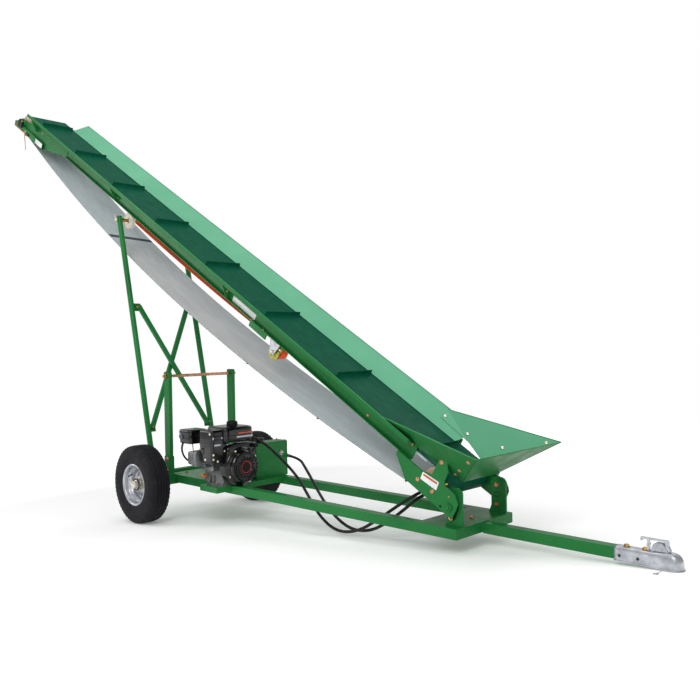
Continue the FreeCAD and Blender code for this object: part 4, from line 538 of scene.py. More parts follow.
# Each finish: its slot, its recipe, colour and thin-coat colour, then the recipe's own numbers in their order.
# A colour is written as display values, or as the name of one of the panel's paints.
FINISHES = {
    "frame_green": ("frame_green", enamel, "frame", "frame_shade"),
    # board_green is painted light and shade: the frame green lightened as if lit from above, turning to the
    # frame's thin-coat green on downward faces as painted shade
    "board_green": ("board_green", enamel, "board", "board_shade", 0.36, 0.0, 0.006, 0.02, "frame_shade"),
    "edge_green": ("board_green", enamel, "edge", "frame", 0.22, 0.1, 0.006, 0.02),
    "boom_green": ("frame_green", enamel, (38, 118, 62), (28, 104, 50), 0.24, 0.08, 0.008, 0.03),
    "belt_green": ("belt_green", belt_cover, "belt", "belt_shade"),
    "belt_back": ("belt_green", belt_cloth, (216, 222, 224), (190, 198, 202)),
    "strap_orange": ("strap_orange", webbing, "strap", (250, 88, 44)),
    "zinc": ("zinc", plated, (206, 208, 214), (150, 154, 161)),
    "bolt_zinc": ("zinc", plated, (214, 164, 122), (158, 106, 74), 0.3, 240.0),
    "bright_bolt": ("zinc", plated, (232, 226, 212), (196, 188, 170), 0.26, 240.0),
    "brass_bolt": ("zinc", plated, (226, 182, 104), (176, 132, 66), 0.28, 240.0),
    "blued": ("zinc", plated, (128, 134, 146), (84, 92, 108), 0.25, 240.0),
    "gear_zinc": ("zinc", plated, (205, 200, 96), (150, 150, 70), 0.36, 120.0),
    "steel": ("steel", turned_metal, (190, 188, 184), (140, 138, 136)),
    "brass": ("zinc", turned_metal, (214, 176, 88), (160, 122, 52)),
    "engine_cast": ("engine_cast", cast_metal, (150, 152, 153), (96, 98, 100)),
    "tyre_rubber": ("tyre_rubber", tyre_rubber, (33, 33, 37), (22, 22, 25)),
    "hose_rubber": ("hose_rubber", hose_cover, (22, 22, 24), (12, 12, 13)),
    "black_enamel": ("black_enamel", moulded, (17, 17, 19), (8, 8, 9), 0.16, 300.0, 0.02, 0.35, 0.02),
    "black_plastic": ("black_plastic", moulded, (24, 25, 27), (14, 14, 15), 0.42, 700.0, 0.1, 0.0, 0.05, 0.2),
    "motor_black": ("motor_black", moulded, (26, 26, 27), (15, 15, 16), 0.36, 300.0, 0.15, 0.1, 0.08, 0.25),
    # Near-black painted shade standing in for open slots and holes
    "inside_dark": ("black_plastic", moulded, (16, 18, 18), (9, 10, 10), 0.6, 200.0, 0.1, 0.0, 0.1),
    "drum_band": ("belt_green", moulded, (74, 92, 98), (52, 70, 76), 0.6, 300.0, 0.2, 0.0, 0.1),
    "drum_cover": ("steel", moulded, (232, 204, 182), (206, 164, 138), 0.45, 180.0, 0.08, 0.0, 0.05),
    # Dark green painted shade standing in for the inside of the coupler's side holes
    "hole_green": ("frame_green", moulded, (20, 72, 36), (10, 44, 22), 0.4, 300.0, 0.1, 0.2, 0.0),
    "nylon": ("nylon", moulded, (226, 222, 206), (200, 194, 176), 0.4, 220.0, 0.06, 0.0, 0.06),
    "cord_twine": ("nylon", moulded, (216, 196, 168), (176, 150, 118), 0.8, 300.0, 0.4, 0.0, 0.1),
    "label_grey": ("nylon", moulded, (196, 202, 212), (170, 178, 190), 0.3, 200.0, 0.02, 0.3, 0.03),
    "label_white": ("nylon", moulded, (236, 238, 236), (222, 225, 224), 0.3, 200.0, 0.02, 0.3, 0.03),
    "label_band": ("nylon", moulded, (214, 84, 52), (190, 66, 40), 0.3, 200.0, 0.02, 0.3, 0.03),
    "badge_red": ("black_enamel", moulded, (196, 26, 34), (150, 16, 24), 0.3, 200.0, 0.02, 0.3, 0.0),
    "orange_plastic": ("black_plastic", moulded, (240, 122, 28), (216, 92, 14), 0.35, 300.0, 0.06, 0.1, 0.04),
    "yellow_plastic": ("zinc", moulded, (238, 206, 30), (214, 176, 16), 0.35, 300.0, 0.04, 0.1, 0.0),
}
made_finishes = {}


def paint_of(name):
    """A colour of the panel's settings, as display values."""
    return tuple(np.array(getattr(bpy.context.scene.conveyor_paint, name)[:3]) * 255.0)


def finish_of(name):
    if name not in made_finishes:
        recipe, *values = FINISHES[name][1:]
        made_finishes[name] = recipe(name, *(paint_of(v) if isinstance(v, str) else v for v in values))
    return made_finishes[name]


# ---------------------------------------------------------------- settings in the sidebar
def colour_setting(label, text, value):
    return bpy.props.FloatVectorProperty(name=label, description=text, subtype="COLOR_GAMMA", size=3,
                                         min=0.0, max=1.0, default=tuple(np.array(value) / 255.0))


def length_setting(label, text, value):
    return bpy.props.FloatProperty(name=label, description=text, unit="LENGTH", subtype="DISTANCE", min=0.0,
                                   default=value)


def count_setting(label, text, value, low, high):
    return bpy.props.IntProperty(name=label, description=text, min=low, max=high, default=value)


class ConveyorPaint(bpy.types.PropertyGroup):
    frame: colour_setting("Frame", "Green enamel of the frame, legs and boom", (38, 124, 62))
    # frame_shade also serves as the painted shade on the boards' downward faces
    frame_shade: colour_setting("Frame, thin coat", "The same enamel where the coat is thinner", (30, 108, 52))
    # The boards' colour is the frame's green lightened: painted light standing in for the overhead lamp on their
    # upward faces
    board: colour_setting("Boards", "Enamel of the side boards and hopper", (106, 180, 144))
    board_shade: colour_setting("Boards, thin coat", "The boards where the coat is thinner", (98, 172, 136))
    edge: colour_setting("Lips", "Enamel on the folded lips", (46, 150, 74))
    belt: colour_setting("Belt", "Cover of the belt", (12, 86, 64))
    belt_shade: colour_setting("Belt, worn", "Cover of the belt where it is scuffed", (9, 74, 54))
    strap: colour_setting("Strap", "Webbing of the winch", (255, 112, 60))


class ConveyorSizes(bpy.types.PropertyGroup):
    rib_depth: length_setting("Tread depth", "Depth of the grooves round the tyres", 0.0065)
    rib_count: count_setting("Tread grooves", "Grooves round each tyre", 4, 1, 9)
    notch_count: count_setting("Shoulder notches", "Notches round each shoulder", 54, 8, 120)
    bolt: length_setting("Bolt size", "Half the width of the common bolt heads", 0.0115)
    small_bolt: length_setting("Small bolt size", "Half the width of the engine's screws", 0.0065)
    hose_diameter: length_setting("Hose diameter", "Outside diameter of both hoses", 0.017)
    gear_teeth: count_setting("Winch teeth", "Teeth of the winch gear", 44, 12, 90)
    fin_count: count_setting("Fins", "Cooling fins on the cylinder", 8, 3, 20)


def sizes():
    return bpy.context.scene.conveyor_sizes


def dress(finish, names):
    """CAD nodes keep their shapes and take a finish."""
    for name in names.split():
        mesh = NODES[name].data
        mesh.materials.clear()
        mesh.materials.append(finish_of(finish))


SIDES = ((-1, -Y), (1, Y))


# ---------------------------------------------------------------- frame
def place_bolts(places, direction, size, frame_map=level, kind=hex_bolt):
    return [part for place in places for part in kind(place, direction, size, frame_map)]


def weld_bead(start, end, radius, frame_map=level):
    """A weld: a round bead along a joint, its radius swelling in scales: r * (1 + 0.16 sin)."""
    span = np.array([start, end], float)
    t = np.linspace(0, 1, max(int(np.linalg.norm(span[1] - span[0]) / 0.0022), 8))
    path = np.stack([np.interp(t, (0, 1), span[:, k]) for k in range(3)], -1)
    return swept(path, radius, frame_map, 0, 8, 0.16, 0.007, 0.8)


class CONVEYOR_OT_frame(bpy.types.Operator):
    """Paints the chassis and adds its bolts, plugs and welds"""
    bl_idname = "conveyor.frame"
    bl_label = "Frame"

    def execute(self, context):
        size = sizes().bolt
        dress("frame_green", "rail_left rail_right front_cross_tube axle_beam rear_frame post_left post_right "
              "front_deck engine_deck engine_bearer drawbar pivot_bracket_left pivot_bracket_right "
              "hydraulic_tank")
        dress("bolt_zinc", "post_rod")
        dress("black_enamel", "pivot_bearings")
        bolts = place_bolts([(-0.0849, 0.0065, 0.0)], Z, size)
        bolts += place_bolts([(-2.328, -0.14, 0.003), (-2.328, 0.14, 0.003), (-1.905, 0.19, 0.003),
                              (-1.93, -0.205, 0.003)], Z, size * 0.9)
        welds, caps, nipples = [], [], []
        bearing = [(0.0, 0.0135), (0.002, 0.0195), (0.0035, 0.026), (0.0035, 0.0275), (0.001, 0.029)]
        for side, out in SIDES:
            bolts += place_bolts([(-0.054, side * 0.204, z) for z in (0.142, 0.042)], out, size,
                                 kind=nut_and_thread)
            bolts += place_bolts([(-0.054, side * 0.177, z) for z in (0.142, 0.042)], -out, size)
            bolts += place_bolts([(-2.347, side * 0.2762, z) for z in (0.107, 0.030)], out, size)
            bolts += place_bolts([(-2.347, side * 0.2944, 0.661)], out, size * 0.9, kind=dome_bolt)
            for start, end, radius in (((-0.002, 0.175, 0.001), (-0.083, 0.175, 0.001), 0.004),
                                       ((-0.0015, 0.0265, -0.007), (-0.0015, 0.0265, -0.047), 0.004),
                                       ((-2.316, 0.233, 0.001), (-2.316, 0.187, 0.001), 0.004),
                                       ((-2.3795, 0.246, 0.0015), (-2.3145, 0.246, 0.0015), 0.0035)):
                welds.append(weld_bead(np.array(start) * (1, side, 1), np.array(end) * (1, side, 1), radius))
            caps.append(block((-2.3745, side * 0.26 - 0.0105, 0.6855), (-2.3195, side * 0.26 + 0.0105, 0.6895),
                              0.004))
            caps.append(turned(bearing, (-0.054, side * 0.2046, 0.092), out))
            nipples += grease_nipple((-0.0295, side * 0.196, 0.1155), unit(X + Z), 0.0052)
        welds.append(weld_bead((0.0015, -0.023, -0.0065), (0.0015, 0.023, -0.0065), 0.004))
        piece("frame_bolts", bolts, "bolt_zinc", "chassis")
        piece("frame_welds", welds, "frame_green", "chassis")
        piece("frame_plugs", caps, "black_plastic", "chassis")
        piece("bearing_nipples", nipples, "yellow_plastic", "chassis")
        return {"FINISHED"}


# ---------------------------------------------------------------- wheels
def tyre_points(side):
    """The tyre's skin as a grid of angle and distance round its section.  Across the tread, y = w * t and
    radius = crown - 4 mm t^4 - depth * sum(exp(-((y - groove) / 2.6 mm)^4)); at the shoulders the radius also
    drops where the cosine of the notch number times the angle is high."""
    s = sizes()
    t = np.linspace(-1.0, 1.0, 121)
    y = 0.055 * t
    grooves = np.linspace(-1, 1, s.rib_count + 2)[1:-1] * 0.05
    tread = TYRE_RADIUS - 0.004 * t ** 4 - s.rib_depth * np.exp(-((y[:, None] - grooves) / 0.0026) ** 4).sum(1)
    wall = bent_path([(0.055, 0.0, 0.248), (0.0625, 0, 0.238), (0.0668, 0, 0.216), (0.069, 0, 0.192),
                      (0.0672, 0, 0.166), (0.0655, 0, 0.1615), (0.0645, 0, 0.150), (0.0622, 0, 0.1415),
                      (0.0600, 0, 0.1345), (0.056, 0, 0.1275)], 40)[1:, [0, 2]]
    inner = np.array([(0.052, 0.124), (0.050, 0.130), (0.058, 0.165), (0.060, 0.195), (0.054, 0.225),
                      (0.030, 0.238), (0.0, 0.240)])
    right = np.concatenate([wall, inner])
    left = right[:-1][::-1] * [-1, 1]
    section = np.concatenate([np.stack([y, tread], -1), right, left])
    angle = np.linspace(0, 2 * math.pi, s.notch_count * 6, endpoint=False)
    across = np.abs(section[:, 0])
    shoulder = np.clip((across - 0.047) / 0.006, 0, 1) * np.clip((section[:, 1] - 0.226) / 0.008, 0, 1)
    notch = 0.0032 / (1 + np.exp(-14 * (np.cos(s.notch_count * angle) - 0.35)))
    radius = section[:, 1][:, None] - shoulder[:, None] * notch[None]
    points = np.stack([radius * np.cos(angle), np.broadcast_to(section[:, :1], radius.shape),
                       radius * np.sin(angle)], -1)
    return points + AXLE + Y * side * WHEEL_Y


def wheel_parts(side):
    """Rim, hub and fixings of one wheel, each a profile carried round the axle.  Distances run outwards from
    the middle of the tyre."""
    centre = AXLE + Y * side * WHEEL_Y
    out = Y * side
    rim = [(-0.063, 0.132), (-0.0615, 0.1345), (-0.058, 0.1335), (-0.055, 0.127), (-0.052, 0.1232),
           (-0.036, 0.1225), (-0.030, 0.119), (-0.022, 0.1055), (-0.016, 0.1022), (0.012, 0.1022),
           (0.018, 0.1055), (0.026, 0.119), (0.032, 0.1225), (0.052, 0.1232), (0.055, 0.127), (0.058, 0.1335),
           (0.0615, 0.1345), (0.063, 0.132), (0.0622, 0.128), (0.058, 0.1215), (0.054, 0.1192), (0.034, 0.1185),
           (0.029, 0.115), (0.021, 0.1015), (0.014, 0.0982), (-0.004, 0.0975), (-0.009, 0.094), (-0.011, 0.088),
           (-0.0105, 0.080), (-0.006, 0.0735), (0.000, 0.070), (0.0035, 0.064), (0.0045, 0.056), (0.0045, 0.033),
           (0.0005, 0.033), (0.0005, 0.055), (-0.001, 0.061), (-0.005, 0.067), (-0.011, 0.071), (-0.0155, 0.079),
           (-0.0155, 0.089), (-0.014, 0.0965), (-0.030, 0.105), (-0.040, 0.118), (-0.054, 0.119),
           (-0.058, 0.1215), (-0.0622, 0.128)]
    hub = [(-0.062, 0.0178), (-0.062, 0.034), (-0.012, 0.034), (-0.008, 0.037), (-0.0075, 0.058),
           (0.0002, 0.058), (0.0005, 0.037), (0.003, 0.0345), (0.040, 0.0335), (0.042, 0.031), (0.046, 0.030),
           (0.047, 0.0275), (0.063, 0.0265), (0.0665, 0.0245), (0.068, 0.0205), (0.068, 0.0)]
    ring = [(0.0405, 0.0335), (0.0405, 0.0395), (0.0435, 0.0395), (0.0445, 0.0345)]
    nuts = []
    for angle in np.arange(4) * math.pi / 2 + math.pi / 4:
        place = centre + out * 0.0045 + (X * math.cos(angle) + Z * math.sin(angle)) * 0.0475
        nuts += nut_and_thread(place, out, 0.0105)
    stem = centre + out * 0.020 + (X * math.cos(2.6) + Z * math.sin(2.6)) * 0.101
    valve = turned([(0, 0.0052), (0.018, 0.0048), (0.019, 0.0034), (0.029, 0.0034), (0.0295, 0.0046),
                    (0.036, 0.0046), (0.0372, 0.003)], stem, unit(out - unit(stem - centre) * 0.35))
    hub_parts = [turned(hub, centre, out), turned(ring, centre, out, paint=1)]
    return skin(turned_grid(rim, centre, out), wrap_rows=True), hub_parts, nuts, [valve]


class CONVEYOR_OT_wheels(bpy.types.Operator):
    """Makes both wheels: ribbed tyres, stepped rims, hubs, nuts and valves"""
    bl_idname = "conveyor.wheels"
    bl_label = "Wheels"

    def execute(self, context):
        for side, name in ((1, "left"), (-1, "right")):
            body = "wheel_" + name
            tyre = skin(level(tyre_points(side)), 0, wrap_rows=True)
            piece("tyre_skin_" + name, [tyre], "tyre_rubber", body, ("tyre_" + name,), sharp=50)
            rim, hub, nuts, valve = wheel_parts(side)
            piece("rim_shell_" + name, [rim], "zinc", body, ("rim_" + name,), sharp=40)
            piece("hub_shell_" + name, hub, ["bright_bolt", "black_plastic"], body, ("hub_" + name,))
            piece("wheel_nuts_" + name, nuts, "bright_bolt", body)
            piece("valve_" + name, valve, "black_plastic", body)
        return {"FINISHED"}


# ---------------------------------------------------------------- belt
TAIL, HEAD, SAG, WRAP = 0.154, 5.414, 0.353, 0.075
BELT_HALF, BELT_THICK = 0.172, 0.005
CLEATS, FIRST_CLEAT, CLEAT_JOINT_SPACING = 16, 0.300, 0.557
BELT_JOINT = 3.565
HALF_SPAN = (HEAD - TAIL) / 2
SWEEP = (HALF_SPAN ** 2 + (SAG - WRAP) ** 2 - WRAP ** 2) / (2 * (SAG - 2 * WRAP))
LEAN = math.atan2(HALF_SPAN, SWEEP - SAG + WRAP)
SPANS = np.array([HEAD - TAIL, WRAP * (math.pi - LEAN), SWEEP * 2 * LEAN, WRAP * (math.pi - LEAN)])


def belt_place(distance):
    """Reach, height and outward direction at a distance round the belt's outer face: a straight run, an arc
    round the head drum, a wide hanging arc and an arc round the tail drum."""
    d = np.mod(np.asarray(distance, float), SPANS.sum())
    start = np.concatenate([[0.0], np.cumsum(SPANS)])
    head = math.pi / 2 - (d - start[1]) / WRAP
    hang = LEAN - (d - start[2]) / SWEEP
    tail = 1.5 * math.pi - LEAN - (d - start[3]) / WRAP
    which = [d < start[1], d < start[2], d < start[3]]
    out_r = np.select(which, [0 * d, np.cos(head), np.sin(hang)], np.cos(tail))
    out_n = np.select(which, [0 * d + 1, np.sin(head), -np.cos(hang)], np.sin(tail))
    r = np.select(which, [TAIL + d, HEAD + WRAP * out_r, (HEAD + TAIL) / 2 + SWEEP * out_r], TAIL + WRAP * out_r)
    n = np.select(which, [0 * d, -WRAP + WRAP * out_n, SWEEP - SAG + SWEEP * out_n], -WRAP + WRAP * out_n)
    return r, n, out_r, out_n


def on_belt(distance, y, rise):
    """Points at distances, widths and rises above the belt's outer face."""
    r, n, out_r, out_n = belt_place(distance)
    shape = np.broadcast_shapes(np.shape(r), np.shape(y), np.shape(rise))
    return boom(np.stack([np.broadcast_to(v, shape) for v in (r + out_r * rise, y, n + out_n * rise)], -1))


class CONVEYOR_OT_belt(bpy.types.Operator):
    """Makes the belt with its two faces, cleats and joint, and dresses its drums"""
    bl_idname = "conveyor.belt"
    bl_label = "Belt"

    def execute(self, context):
        edge = np.concatenate([[0.0], np.cumsum(SPANS)])
        stations = np.concatenate([np.linspace(edge[k], edge[k + 1], count, endpoint=False)
                                   for k, count in enumerate((70, 28, 120, 28))])[:, None]
        inset = BELT_HALF - 0.001
        y = np.array([-inset, inset, BELT_HALF, BELT_HALF, inset, -inset, -BELT_HALF, -BELT_HALF])
        depth = np.array([0.0, 0.0, -0.001, -0.0035, -BELT_THICK, -BELT_THICK, -0.0035, -0.001])
        loop = skin(on_belt(stations, y[None], depth[None]), np.array([0, 0, 0, 1, 1, 1, 0, 0]), wrap_rows=True)
        spacing = (SPANS.sum() - CLEAT_JOINT_SPACING) / (CLEATS - 1)
        cleats = [self.cleat(FIRST_CLEAT - TAIL + index * spacing) for index in range(CLEATS)]
        joint = edge[2] + SWEEP * (LEAN - math.asin((BELT_JOINT - (HEAD + TAIL) / 2) / SWEEP))
        span = joint + np.linspace(-0.022, 0.022, 7)[:, None]
        band_y = np.array([-0.1705, 0.1705, 0.1705, -0.1705])[None]
        band_rise = -BELT_THICK + np.array([-0.0006, -0.0006, 0.0012, 0.0012])[None]
        band = skin(on_belt(span + band_y * 0.12, band_y, band_rise), 2)
        piece("belt_cover", [loop, *cleats, band], ["belt_green", "belt_back", "drum_band"], "boom", ("belt",),
              sharp=30)
        dress("drum_cover", "head_drum tail_drum")
        dress("belt_back", "slider_pan")
        return {"FINISHED"}

    def cleat(self, middle):
        """A bar across the belt: a foot, curved flanks and a flat top, a little smaller at both ends."""
        along = np.array([0.0018, 0.003, 0.0042, 0.0065, 0.0105, 0.013])
        rise = np.array([0.030, 0.029, 0.014, 0.0062, 0.0022, -0.0008])
        along, rise = np.concatenate([-along[::-1], along]), np.concatenate([rise[::-1], rise])
        width = np.array([-0.134, -0.1335, 0.1335, 0.134])[:, None]
        shrink = np.array([0.97, 1.0, 1.0, 0.97])[:, None]
        r, n, out_r, out_n = belt_place(middle)
        across, ahead, up = np.broadcast_arrays(width, along * shrink, rise * shrink)
        return skin(boom(np.stack([r + out_n * ahead + out_r * up, across, n - out_r * ahead + out_n * up], -1)))


# ---------------------------------------------------------------- boom
def label(corners, lift_from, direction, paint=0):
    """A blank plate with rounded corners, 1 mm thick, on the boom's side.  Corners are (reach, height) pairs."""
    outline = rounded_outline(corners, 0.004, 4)
    return lofted(outline, soft_edge(-0.0003, 0.0007, 0.0003, 3), lift_from, X, Z, direction, boom, paint)


def upright(side, low, high, inner, outer):
    """Corners of a block on one side of the boom, from its (reach, height) corners and its two widths."""
    near, far = sorted((side * inner, side * outer))
    return (low[0], near, low[1]), (high[0], far, high[1])


class CONVEYOR_OT_boom(bpy.types.Operator):
    """Paints the boom and adds its bolts, plates, bearings and take-up screws"""
    bl_idname = "conveyor.boom"
    bl_label = "Boom"

    def execute(self, context):
        size = sizes().bolt
        # Boards and hopper take the lightened board green: painted light above, painted shade below
        dress("board_green", "side_board_left side_board_right hopper_side_left hopper_side_right hopper_front")
        dress("frame_green", "boom_channel_left boom_channel_right boom_crossmembers side_plate_left "
              "side_plate_right winch_bracket pivot_pins")
        dress("boom_green", "takeup_arm_left takeup_arm_right")
        lip_end, kink, foot = (5.186, 0.2737, 0.0722), (0.512, 0.2737, 0.0722), (0.512, 0.2625, 0.0690)
        corner = (-0.0896, 0.3608, 0.2627)
        runs = [np.array(run) * (1, side, 1) for side, _ in SIDES for run in ((lip_end, kink), (foot, corner))]
        runs.append(np.array([corner, corner]) * [(1, -1, 1), (1, 1, 1)])
        lips = [swept(straight(*run, 8), 0.0022, boom, 0, 10) for run in runs]
        piece("lip_beads", lips, "edge_green", "boom")
        bolts, green, dark, nipples = [], [], [], []
        for side, out in SIDES:
            for kind, share, direction, places in (
                    (dome_bolt, 1.05, out, ((0.137, 0.218, 0.0615), (0.116, 0.218, -0.092),
                                            (0.215, 0.218, -0.094))),
                    (hex_bolt, 1.0, out, ((5.520, 0.2122, -0.119), (5.416, 0.2122, -0.122),
                                          (5.262, 0.2122, -0.131))),
                    (dome_bolt, 0.95, Z, ((1.7225, 0.203, -0.044), (1.598, 0.198, -0.044))),
                    (dome_bolt, 0.9, -X, ((2.0018, 0.213, 0.004),)),
                    (dome_bolt, 0.8, -X, ((0.3165, 0.2235, 0.0385),)),
                    (dome_bolt, 0.85, out, [(r, 0.1885, -0.026) for r in (0.66, 2.02, 3.58, 5.02)])):
                bolts += place_bolts([(r, side * y, n) for r, y, n in places], direction, size * share, boom,
                                     kind)
            pin = (0, side * 0.2178, -0.0965)
            green.append(lofted(np.array(HEXAGON) * 0.0205, [(0, 0), (0.0075, 0), (0.0092, 0.002)], pin, X, Z,
                                out, boom))
            green.append(turned([(0.008, 0.0095), (0.0145, 0.0095), (0.0155, 0.0085)], pin, out, boom, 24))
            dark.append(turned([(-0.0006, 0.0072), (0.0004, 0.0072), (0.0004, 0.0)],
                               (0.042, side * 0.218, -0.122), out, boom, 20))
            bearing = [(0.0, 0.0385), (0.018, 0.0385), (0.0222, 0.036), (0.0230, 0.030), (0.0230, 0.0185)]
            dark.append(turned(bearing, (HEAD, side * 0.2118, -0.075), out, boom, 36))
            nipples += grease_nipple((HEAD - 0.030, side * 0.226, -0.052), unit(-X * 0.5 + Z + out * 0.6),
                                     0.0055, boom)
            nipples += grease_nipple((0.066, side * 0.2105, -0.012), out, 0.005, boom)
            screw = straight((5.245, side * 0.222, -0.128), (5.345, side * 0.222, -0.128), 70)
            bolts.append(swept(screw, 0.0050, boom, 0, 12, 0.10, 0.006))
            bolts += place_bolts([(5.250, side * 0.222, -0.128)], -X, 0.009, boom)
            green.append(block(*upright(side, (5.268, -0.139), (5.280, -0.116), 0.212, 0.230), 0.003, boom))
            green.append(weld_bead((5.1095, side * 0.1895, -0.0455), (5.1095, side * 0.1895, 0.010), 0.003,
                                   boom))
        piece("boom_bolts", bolts, "bolt_zinc", "boom")
        piece("boom_nuts", green, "frame_green", "boom")
        piece("boom_bearings", dark, "black_plastic", "boom")
        piece("boom_nipples", nipples, "yellow_plastic", "boom")
        self.hopper_bolts(size * 0.95)
        plates = [label(corners, (0, near, 0), -Y, paint) for corners, near, paint in (
            ([(1.965, -0.041), (1.965, -0.006), (1.712, -0.006), (1.712, -0.041)], -0.1881, 0),
            ([(0.206, -0.0425), (0.103, -0.0285), (0.098, -0.0725), (0.203, -0.0815)], -0.2181, 0),
            ([(4.940, -0.137), (5.082, -0.137), (5.082, -0.098), (4.940, -0.098)], -0.2122, 0),
            ([(0.198, -0.0475), (0.109, -0.0355), (0.108, -0.0455), (0.197, -0.0570)], -0.2188, 1))]
        piece("boom_labels", plates, ["label_white", "label_band"], "boom")
        return {"FINISHED"}

    def hopper_bolts(self, size):
        """Domed bolts square to the hopper's sheets, found where a line across meets each sheet."""
        walls = [(0.487, 0.0475), (0.3157, 0.0494), (0.1142, 0.1009), (-0.0376, 0.2242)]
        seams = [(-0.0355, 0.200), (0.0375, 0.0857), (0.078, 0.026)]
        bright, inner = [], []
        for (side, out), name in zip(SIDES, ("right", "left")):
            sheet, board = NODES["hopper_side_" + name], NODES["side_board_" + name]
            for r, n in walls:
                found = surface_point(sheet, (r, 0.0, n), out) or surface_point(board, (r, 0.0, n), out)
                if found:
                    bright += dome_bolt(*found, size, parked)
            for r, n in seams:
                found = surface_point(sheet, (r, side * 0.50, n), -out)
                if found:
                    inner += dome_bolt(*found, size, parked)
        if not bright or not inner:
            raise RuntimeError("The hopper's bolts found no sheet")
        piece("hopper_bolts", bright, "bright_bolt", "boom")
        piece("hopper_seam_bolts", inner, "bolt_zinc", "boom")


def surface_point(node, start, direction):
    """Where a line, given in the boom frame, first meets a CAD node: the place and the face's direction."""
    origin = Vector(boom(start))
    towards = Vector(boom(np.array(start) + direction)) - origin
    hit, place, normal, _ = node.ray_cast(origin, towards.normalized())
    if not hit:
        return None
    return np.array(place), np.array(-normal if normal.dot(towards) > 0 else normal)


# ---------------------------------------------------------------- legs and rollers
class CONVEYOR_OT_legs(bpy.types.Operator):
    """Paints the legs, makes the nylon rollers and adds the leg bolts, caps and clips"""
    bl_idname = "conveyor.legs"
    bl_label = "Legs"

    def execute(self, context):
        size = sizes().bolt
        dress("frame_green", "leg_left leg_right leg_braces")
        dress("brass", "roller_shaft")
        bolts, caps, clips = [], [], []
        half = [(0.0155, 0.0130), (0.0155, 0.020), (0.0125, 0.0215), (0.0125, 0.050), (0.0155, 0.0525),
                (0.0155, 0.0560), (0.0125, 0.0595)]
        roller = [(-w, r) for w, r in half] + [(0.0, 0.0600)] + half[::-1]
        for (side, out), name in zip(SIDES, ("right", "left")):
            bolts += hex_bolt((0.0, side * 0.2855, 0.0), out, size, leg)
            bolts += hex_bolt((0.0, side * 0.285, LEG_LENGTH), out, size, leg)
            grid = turned_grid(roller, (0, side * 0.181, LEG_LENGTH), out, leg)
            piece("roller_" + name, [skin(grid, wrap_rows=True)], "nylon", "support_roller_" + name,
                  ("support_roller_" + name,))
            for y in (0.2015, 0.160):
                clips.append(turned([(-0.001, 0.0126), (-0.001, 0.0195), (0.0015, 0.0195), (0.0015, 0.0126)],
                                    (0.0, side * y, LEG_LENGTH), out, leg))
            wing = bent_path([(0, side * 0.292, LEG_LENGTH), (0.004, side * 0.296, LEG_LENGTH + 0.018),
                              (0.002, side * 0.294, LEG_LENGTH + 0.034)], 24)
            caps.append(swept(wing, 0.0048, leg, 0, 12, squash=0.7))
            caps.append(turned([(0, 0.011), (0.008, 0.011), (0.011, 0.008)], (0, side * 0.2845, LEG_LENGTH), out,
                               leg))
        for place, out in self.lugs():
            bolts += nut_and_thread(place, out, size * 0.95, parked)
        piece("leg_bolts", bolts, "bolt_zinc", "leg_frame")
        piece("roller_clips", clips, "steel", "leg_frame")
        piece("leg_wing_nuts", caps, "nylon", "leg_frame")
        return {"FINISHED"}

    def lugs(self):
        """A place on each brace end, found on the braces' own sheet, with the direction out of it."""
        for side, out in SIDES:
            for height in (1.197, 0.328):
                for forward in (0.012, 0.016, 0.008):
                    hit, place, _, _ = NODES["leg_braces"].ray_cast(Vector(leg((forward, side * 0.40, height))),
                                                                    Vector(-out))
                    if hit:
                        yield np.array(place), out
                        break


# ---------------------------------------------------------------- winch
WINCH = (1.500, -0.138)


def gear_outline(teeth, root, tip):
    """Radius as a function of angle: a clipped cosine between the root and the tip of the teeth."""
    angle = np.linspace(0, 2 * math.pi, teeth * 8, endpoint=False)
    radius = root + (tip - root) * np.clip(0.5 + 1.4 * np.cos(angle * teeth), 0, 1)
    return np.stack([radius * np.cos(angle), radius * np.sin(angle)], -1)


